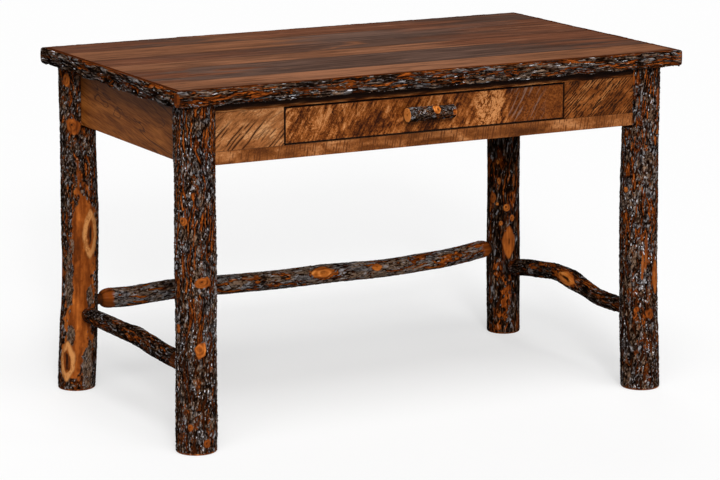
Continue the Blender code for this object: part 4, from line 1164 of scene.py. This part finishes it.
def make_sawn_board(name, low, high, saw, finish):
    """A board whose front face is a grid sunk by its saw marks and a fine rasp, except at the rim. The
    marks fade out above a share of its height, and its other faces are flat. Its rim and sides are marked
    dark as painted shade of the gaps between the boards."""
    columns = round((high[0] - low[0]) / BOARD_GRID) + 1
    rows = round((high[2] - low[2]) / BOARD_GRID) + 1
    x, z = np.meshgrid(np.linspace(low[0], high[0], columns), np.linspace(low[2], high[2], rows))
    kerf = saw_marks(x, z, saw)
    kerf = kerf * step(saw.reach + 0.2, saw.reach - 0.2, (z - low[2]) / (high[2] - low[2]))
    rim_near = np.minimum(np.minimum(x - low[0], high[0] - x), np.minimum(z - low[2], high[2] - z))
    inset = step(0, BOARD_RIM, rim_near)
    # Painted shade: the rim of the face goes dark as in the gaps between the boards
    kerf = np.maximum(kerf, 0.7 * (1 - inset))
    rasp = rough(x / 0.004 + 300, z / 0.004, 600, saw.seed + 5, 2)
    y = low[1] + inset * (saw.depth * kerf + 0.00012 * (1 + rasp))
    front = np.stack((x, y, z), axis=-1).reshape(-1, 3)
    index = np.arange(rows * columns).reshape(rows, columns)
    rim = np.concatenate((index[0, :-1], index[:-1, -1], index[-1, :0:-1], index[:0:-1, 0]))
    back = front[rim]
    back[:, 1] = high[1]
    behind = len(front) + np.arange(len(rim))
    sides = np.stack((np.roll(rim, -1), rim, behind, np.roll(behind, -1)), axis=-1)
    faces = np.concatenate((grid_faces(rows, columns, closed=False), sides))
    # The sides are fully dark, painted shade of the gaps between the boards
    look = {"kerf": np.concatenate((kerf.ravel(), np.ones(len(rim))))}
    points = np.concatenate((front, back))
    piece = add_piece(name + "_sawn", points, faces, [behind[::-1]], look, finish, "frame")
    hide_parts(name)


def sawn_finish(name, stops, dark, slant, seed, dashes):
    """Rough-sawn stained board: cloudy tones drawn out along the slant, fine mottle and pale curls, with
    stain dark in the saw marks and in short dashes between them, painted shade at its rim and sides as in
    the gaps between the boards, and painted shade under the top."""
    mix = Finish(name)
    turn = (0, np.radians(slant), 0)
    shift = (seed, 0.3 * seed, 0)
    cloud = mix.speckle(mix.place((11, 30, 26), turn, shift), 4, 0.8, 0.5)
    level = mix.speckle(mix.place((6, 40, 34), shift=shift), 3, 0.5)
    mottle = mix.speckle(mix.place((260, 260, 260), shift=shift), 3, 0.5, 0.6)
    tone = mix.add(mix.add(cloud, mix.sway(level, 0.08)), mix.sway(mottle, 0.05))
    curls = mix.veins(mix.place((45, 45, 60), shift=shift), 0.022)
    tone = mix.add(tone, mix.times(curls, mix.between(level, 0.4, 0.6, 0.0, 0.09)))
    dash = mix.speckle(mix.place((50, 200, 300), turn, shift), 2, 0.2)
    # The saw-mark value also holds the painted shade at the rim and sides
    cut = mix.larger(mix.attribute("kerf"), mix.between(dash, 0.55, 0.61, 0, dashes))
    colour = mix.over(mix.colours(tone, stops), dark, mix.times(cut, 0.96))
    mix.relief(mix.less(mottle, dash), 0.0005)
    # Painted shade under the top
    return mix.shade(painted_shade_under_top(mix, colour), 0.45, Specular_IOR_Level=0.06)


# Curly patch of the drawer front: its centre and half sizes
PATCH_CENTRE, PATCH_SIZE = (0.138, -0.317, 0.672), (0.044, 1.0, 0.070)


def drawer_front_finish(stops):
    """The drawer front: slanted clouds, fine slanted streaks and thin dark lines, pale curling lines at its
    left end, a little darker beside them, a pale curly patch right of the pull, greyish slanted streaks
    beyond it, and painted shade along its edges as in the gap round it."""
    mix = Finish("drawer_front_stain")
    turn = (0, np.radians(60), 0)
    where = mix.node("TexCoord", "Object")
    along = mix.axis("X")
    cloud = mix.speckle(mix.place((14, 26, 24), turn, (0.7, 0, 0.4)), 5, 1.4, 0.62)
    streak = mix.speckle(mix.place((16, 60, 170), turn), 3, 0.3)
    mottle = mix.speckle(mix.place((260, 260, 260)), 3, 0.5, 0.6)
    tone = mix.add(mix.add(cloud, mix.sway(streak, 0.07)), mix.sway(mottle, 0.06))
    thin = mix.veins(mix.place((7, 40, 75), turn, (0.2, 0, 0)), 0.014, 3, 0.6)
    tone = mix.less(tone, mix.times(thin, 0.15))

    curls = mix.veins(mix.place((42, 42, 55)), 0.022)
    left_end = mix.between(along, -0.27, -0.12, 1, 0)
    tone = mix.add(tone, mix.times(left_end, mix.between(curls, 0, 1, 0.03, 0.18)))
    dim = mix.times(mix.between(along, -0.24, -0.14), mix.between(along, -0.02, -0.09))
    tone = mix.less(tone, mix.times(dim, 0.004))

    curl = mix.speckle(mix.place((75, 75, 60)), 4, 2.4, 0.6)
    offset = mix.vector("DIVIDE", mix.vector("SUBTRACT", where, PATCH_CENTRE), PATCH_SIZE)
    reach = mix.node("VectorMath", "Value", {0: offset}, operation="LENGTH")
    patch = mix.between(mix.add(reach, mix.sway(curl, 0.4, 0.2, 0.8)), 1.05, 0.6)
    flame = mix.veins(mix.place((55, 55, 34)), 0.05, 3, 2.0)
    flame = mix.add(mix.between(curl, 0.46, 0.54, 0.00, 0.23), mix.times(flame, 0.12))
    crease = mix.veins(mix.place((48, 48, 62), shift=(3, 0, 1)), 0.030, 3, 2.6)
    flame = mix.less(flame, mix.times(crease, 0.15))
    tone = mix.add(tone, mix.times(patch, flame))

    even = mix.add(mix.between(cloud, 0.2, 0.8, 0.42, 0.50), mix.sway(mottle, 0.06))
    tone = mix.node("Mix", 0, {0: mix.between(along, 0.175, 0.215), 2: tone, 3: even})
    grey = mix.times(mix.between(along, 0.18, 0.20), mix.between(along, 0.29, 0.25))
    grey = mix.times(grey, mix.between(streak, 0.52, 0.66, 0, 0.6))
    colour = mix.over(mix.colours(tone, stops), STREAK_GREY, grey)

    low = [OPENING[0] + DRAWER_GAP, -1, OPENING_LOW + DRAWER_GAP]
    high = [OPENING[1] - DRAWER_GAP, 1, OPENING_HIGH - DRAWER_GAP]
    inside = mix.vector("MINIMUM", mix.vector("SUBTRACT", where, low), mix.vector("SUBTRACT", high, where))
    rim = mix.smaller(*(mix.node("SeparateXYZ", axis, {0: inside}) for axis in "XZ"))
    # Painted shade along the edges, as in the gap round the drawer
    colour = mix.over(colour, GAP_SHADE_BLACK, mix.between(rim, 0.0030, 0.0014))
    mix.relief(mix.add(mottle, mix.times(patch, curl)), 0.0004)
    return mix.shade(colour, mix.between(cloud, 0.3, 0.7, 0.34, 0.46), Specular_IOR_Level=0.06)


def zinc_finish():
    """Zinc-plated steel, finely mottled."""
    mix = Finish("zinc_plated_steel")
    scratch = mix.speckle(mix.place((500, 500, 500)), 3)
    gloss = mix.between(scratch, 0.3, 0.7, 0.28, 0.45)
    return mix.shade(mix.colours(scratch, ZINC_STOPS), gloss, Metallic=1.0)


def make_camera():
    camera = bpy.data.objects.new("camera", bpy.data.cameras.new("camera"))
    camera.data.sensor_width = 36
    camera.data.lens = CAMERA_LENS
    camera.location = CAMERA_PLACE
    camera.rotation_euler = np.radians((90 - CAMERA_DIP, 0, CAMERA_TURN))
    link(camera)
    bpy.context.scene.camera = camera


def add_sun(name, strength, spread, height, bearing):
    """A soft far lamp: its height above the floor and its bearing from the front, both in degrees."""
    lamp = bpy.data.lights.new(name, "SUN")
    lamp.energy = strength
    lamp.angle = np.radians(spread)
    holder = bpy.data.objects.new(name, lamp)
    holder.rotation_euler = np.radians((90 - height, 0, bearing))
    link(holder)


def make_studio():
    """White floor, a dim sky and soft lamps: one high, two from the front at the camera's side, one from
    the right, one from the back. The floor's glow is seen, also in mirrors and through glass, but lights
    nothing."""
    for name, lamp in LAMPS.items():
        add_sun(name, *lamp)
    world = bpy.data.worlds.new("studio")
    world.use_nodes = True
    world.node_tree.nodes["Background"].inputs[0].default_value = (SKY, SKY, SKY, 1)
    bpy.context.scene.world = world
    mesh = bpy.data.meshes.new("floor")
    mesh.from_pydata([(-40, -40, 0), (40, -40, 0), (40, 60, 0), (-40, 60, 0)], [], [(0, 1, 2, 3)])
    floor = bpy.data.objects.new("floor", mesh)
    link(floor)
    mix = Finish("floor_white")
    seen, mirrored, through_glass = (
        mix.node("LightPath", f"Is {ray} Ray") for ray in ("Camera", "Glossy", "Transmission")
    )
    glow = mix.times(mix.add(mix.add(seen, mirrored), through_glass, clamp=True), FLOOR_GLOW)
    mix.shade(
        (FLOOR_WHITE, FLOOR_WHITE, FLOOR_WHITE), 1.0,
        Specular_IOR_Level=0.0, Emission_Color=(1, 1, 1), Emission_Strength=glow,
    )
    floor.data.materials.append(mix.material)


def dress(finish, *nodes):
    """Gives CAD nodes a finish in place of their plain one."""
    for node in nodes:
        for slot in bpy.data.objects[node].material_slots:
            slot.material = finish


def dress_all(finish, *beginnings):
    """Gives a finish to the CAD nodes whose names begin in one of these ways."""
    dress(finish, *(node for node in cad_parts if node.startswith(beginnings)))


def make_front_boards():
    """The rough-sawn panels beside the drawer opening and the rail below it."""
    front, inner = -BOX_Y, APRON_THICKNESS - BOX_Y
    left, right = OPENING
    low, high = OPENING_LOW + FIT / 2, OPENING_HIGH - FIT / 2
    make_sawn_board(
        "front_left_panel", (-BOX_X, front, low), (left, inner, high),
        Saw(46, 0.0075, 0.040, 0.72, 0.0007, 131),
        sawn_finish("left_panel_stain", LIGHT_STOPS, (0.034, 0.009, 0.002), 30, 0.3, 0.5),
    )
    make_sawn_board(
        "front_right_panel", (right, front, low), (BOX_X, inner, high),
        Saw(44, 0.0052, 0.014, 1.2, 0.0006, 137),
        sawn_finish("right_panel_stain", EVEN_STOPS, (0.018, 0.005, 0.001), 44, 1.9, 1.0),
    )
    make_sawn_board(
        "front_bottom_rail", (-BOX_X, front, APRON_BOTTOM), (BOX_X, inner, OPENING_LOW - FIT / 2),
        Saw(80, 0.0060, 0.010, 1.2, 0.0003, 139),
        sawn_finish("bottom_rail_stain", RAIL_STOPS, (0.105, 0.030, 0.008), 3, 2.6, 0.25),
    )


def stain_boards():
    """Stains of the boards that stay as their solids are."""
    for number, tints in enumerate(TOP_BOARDS, 1):
        plank = f"top_board_{number}"
        low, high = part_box(plank)
        dress(top_board_finish(plank + "_stain", tints, number * 1.7, low[1], high[1]), plank)
    dress(drawer_front_finish(FRONT_STOPS), "drawer_front")
    top_rail = wood_finish("top_rail_stain", FRONT_STOPS, (6, 30, 60), (30, 300, 300), 0.50, 4.4, shaded=True)
    dress(top_rail, "front_top_rail")
    side = wood_finish(
        "side_stain", SIDE_STOPS, (26, 7, 46), (240, 24, 380), 0.50, 3.1,
        shaded=True, turn=(np.radians(-9), 0, 0), lined=0.8,
    )
    dress(side, "left_apron", "right_apron")
    dress(wood_finish("back_stain", FRONT_STOPS, (7, 20, 34), (22, 200, 300), 0.50, 5.3), "back_apron")
    inner_wood = wood_finish("inner_softwood", INNER_STOPS, (30, 4, 30), (220, 16, 220), 0.60)
    dress_all(inner_wood, "corner_block", "top_cleat", "drawer_runner", "drawer_guide", "drawer_kicker")
    dress_all(inner_wood, "drawer_stop", "drawer_catch")
    box_wood = wood_finish("drawer_box_wood", DRAWER_STOPS, (30, 5, 30), (220, 18, 220), 0.5)
    dress_all(box_wood, "drawer_side", "drawer_back", "drawer_bottom")
    dress_all(wood_finish("post_stain", FRONT_STOPS, (30, 6, 30), (200, 20, 200), 0.5), "pull_post")


bpy.context.scene.view_settings.view_transform = "Standard"
make_camera()
make_studio()

bark_stain = bark_finish()
for leg in LEGS:
    make_leg(leg, bark_stain)
for stretcher in STRETCHERS:
    make_stretcher(stretcher, bark_stain)
make_trim("trim_front", SLAB_X, SLAB_Y, 0, RUSTY_TRIM, 83, 0.0015, bark_stain)
make_trim("trim_right", SLAB_Y, SLAB_X, 1, RUSTY_TRIM, 89, 0.0015, bark_stain)
make_trim("trim_back", SLAB_X, SLAB_Y, 2, GREY_TRIM, 97, 0.0015, bark_stain)
make_trim("trim_left", SLAB_Y, SLAB_X, 3, GREY_TRIM, 101, 0.0035, bark_stain)
make_pull(bark_stain)
make_front_boards()
stain_boards()
dress_all(zinc_finish(), "leg_bolt", "pull_screw")
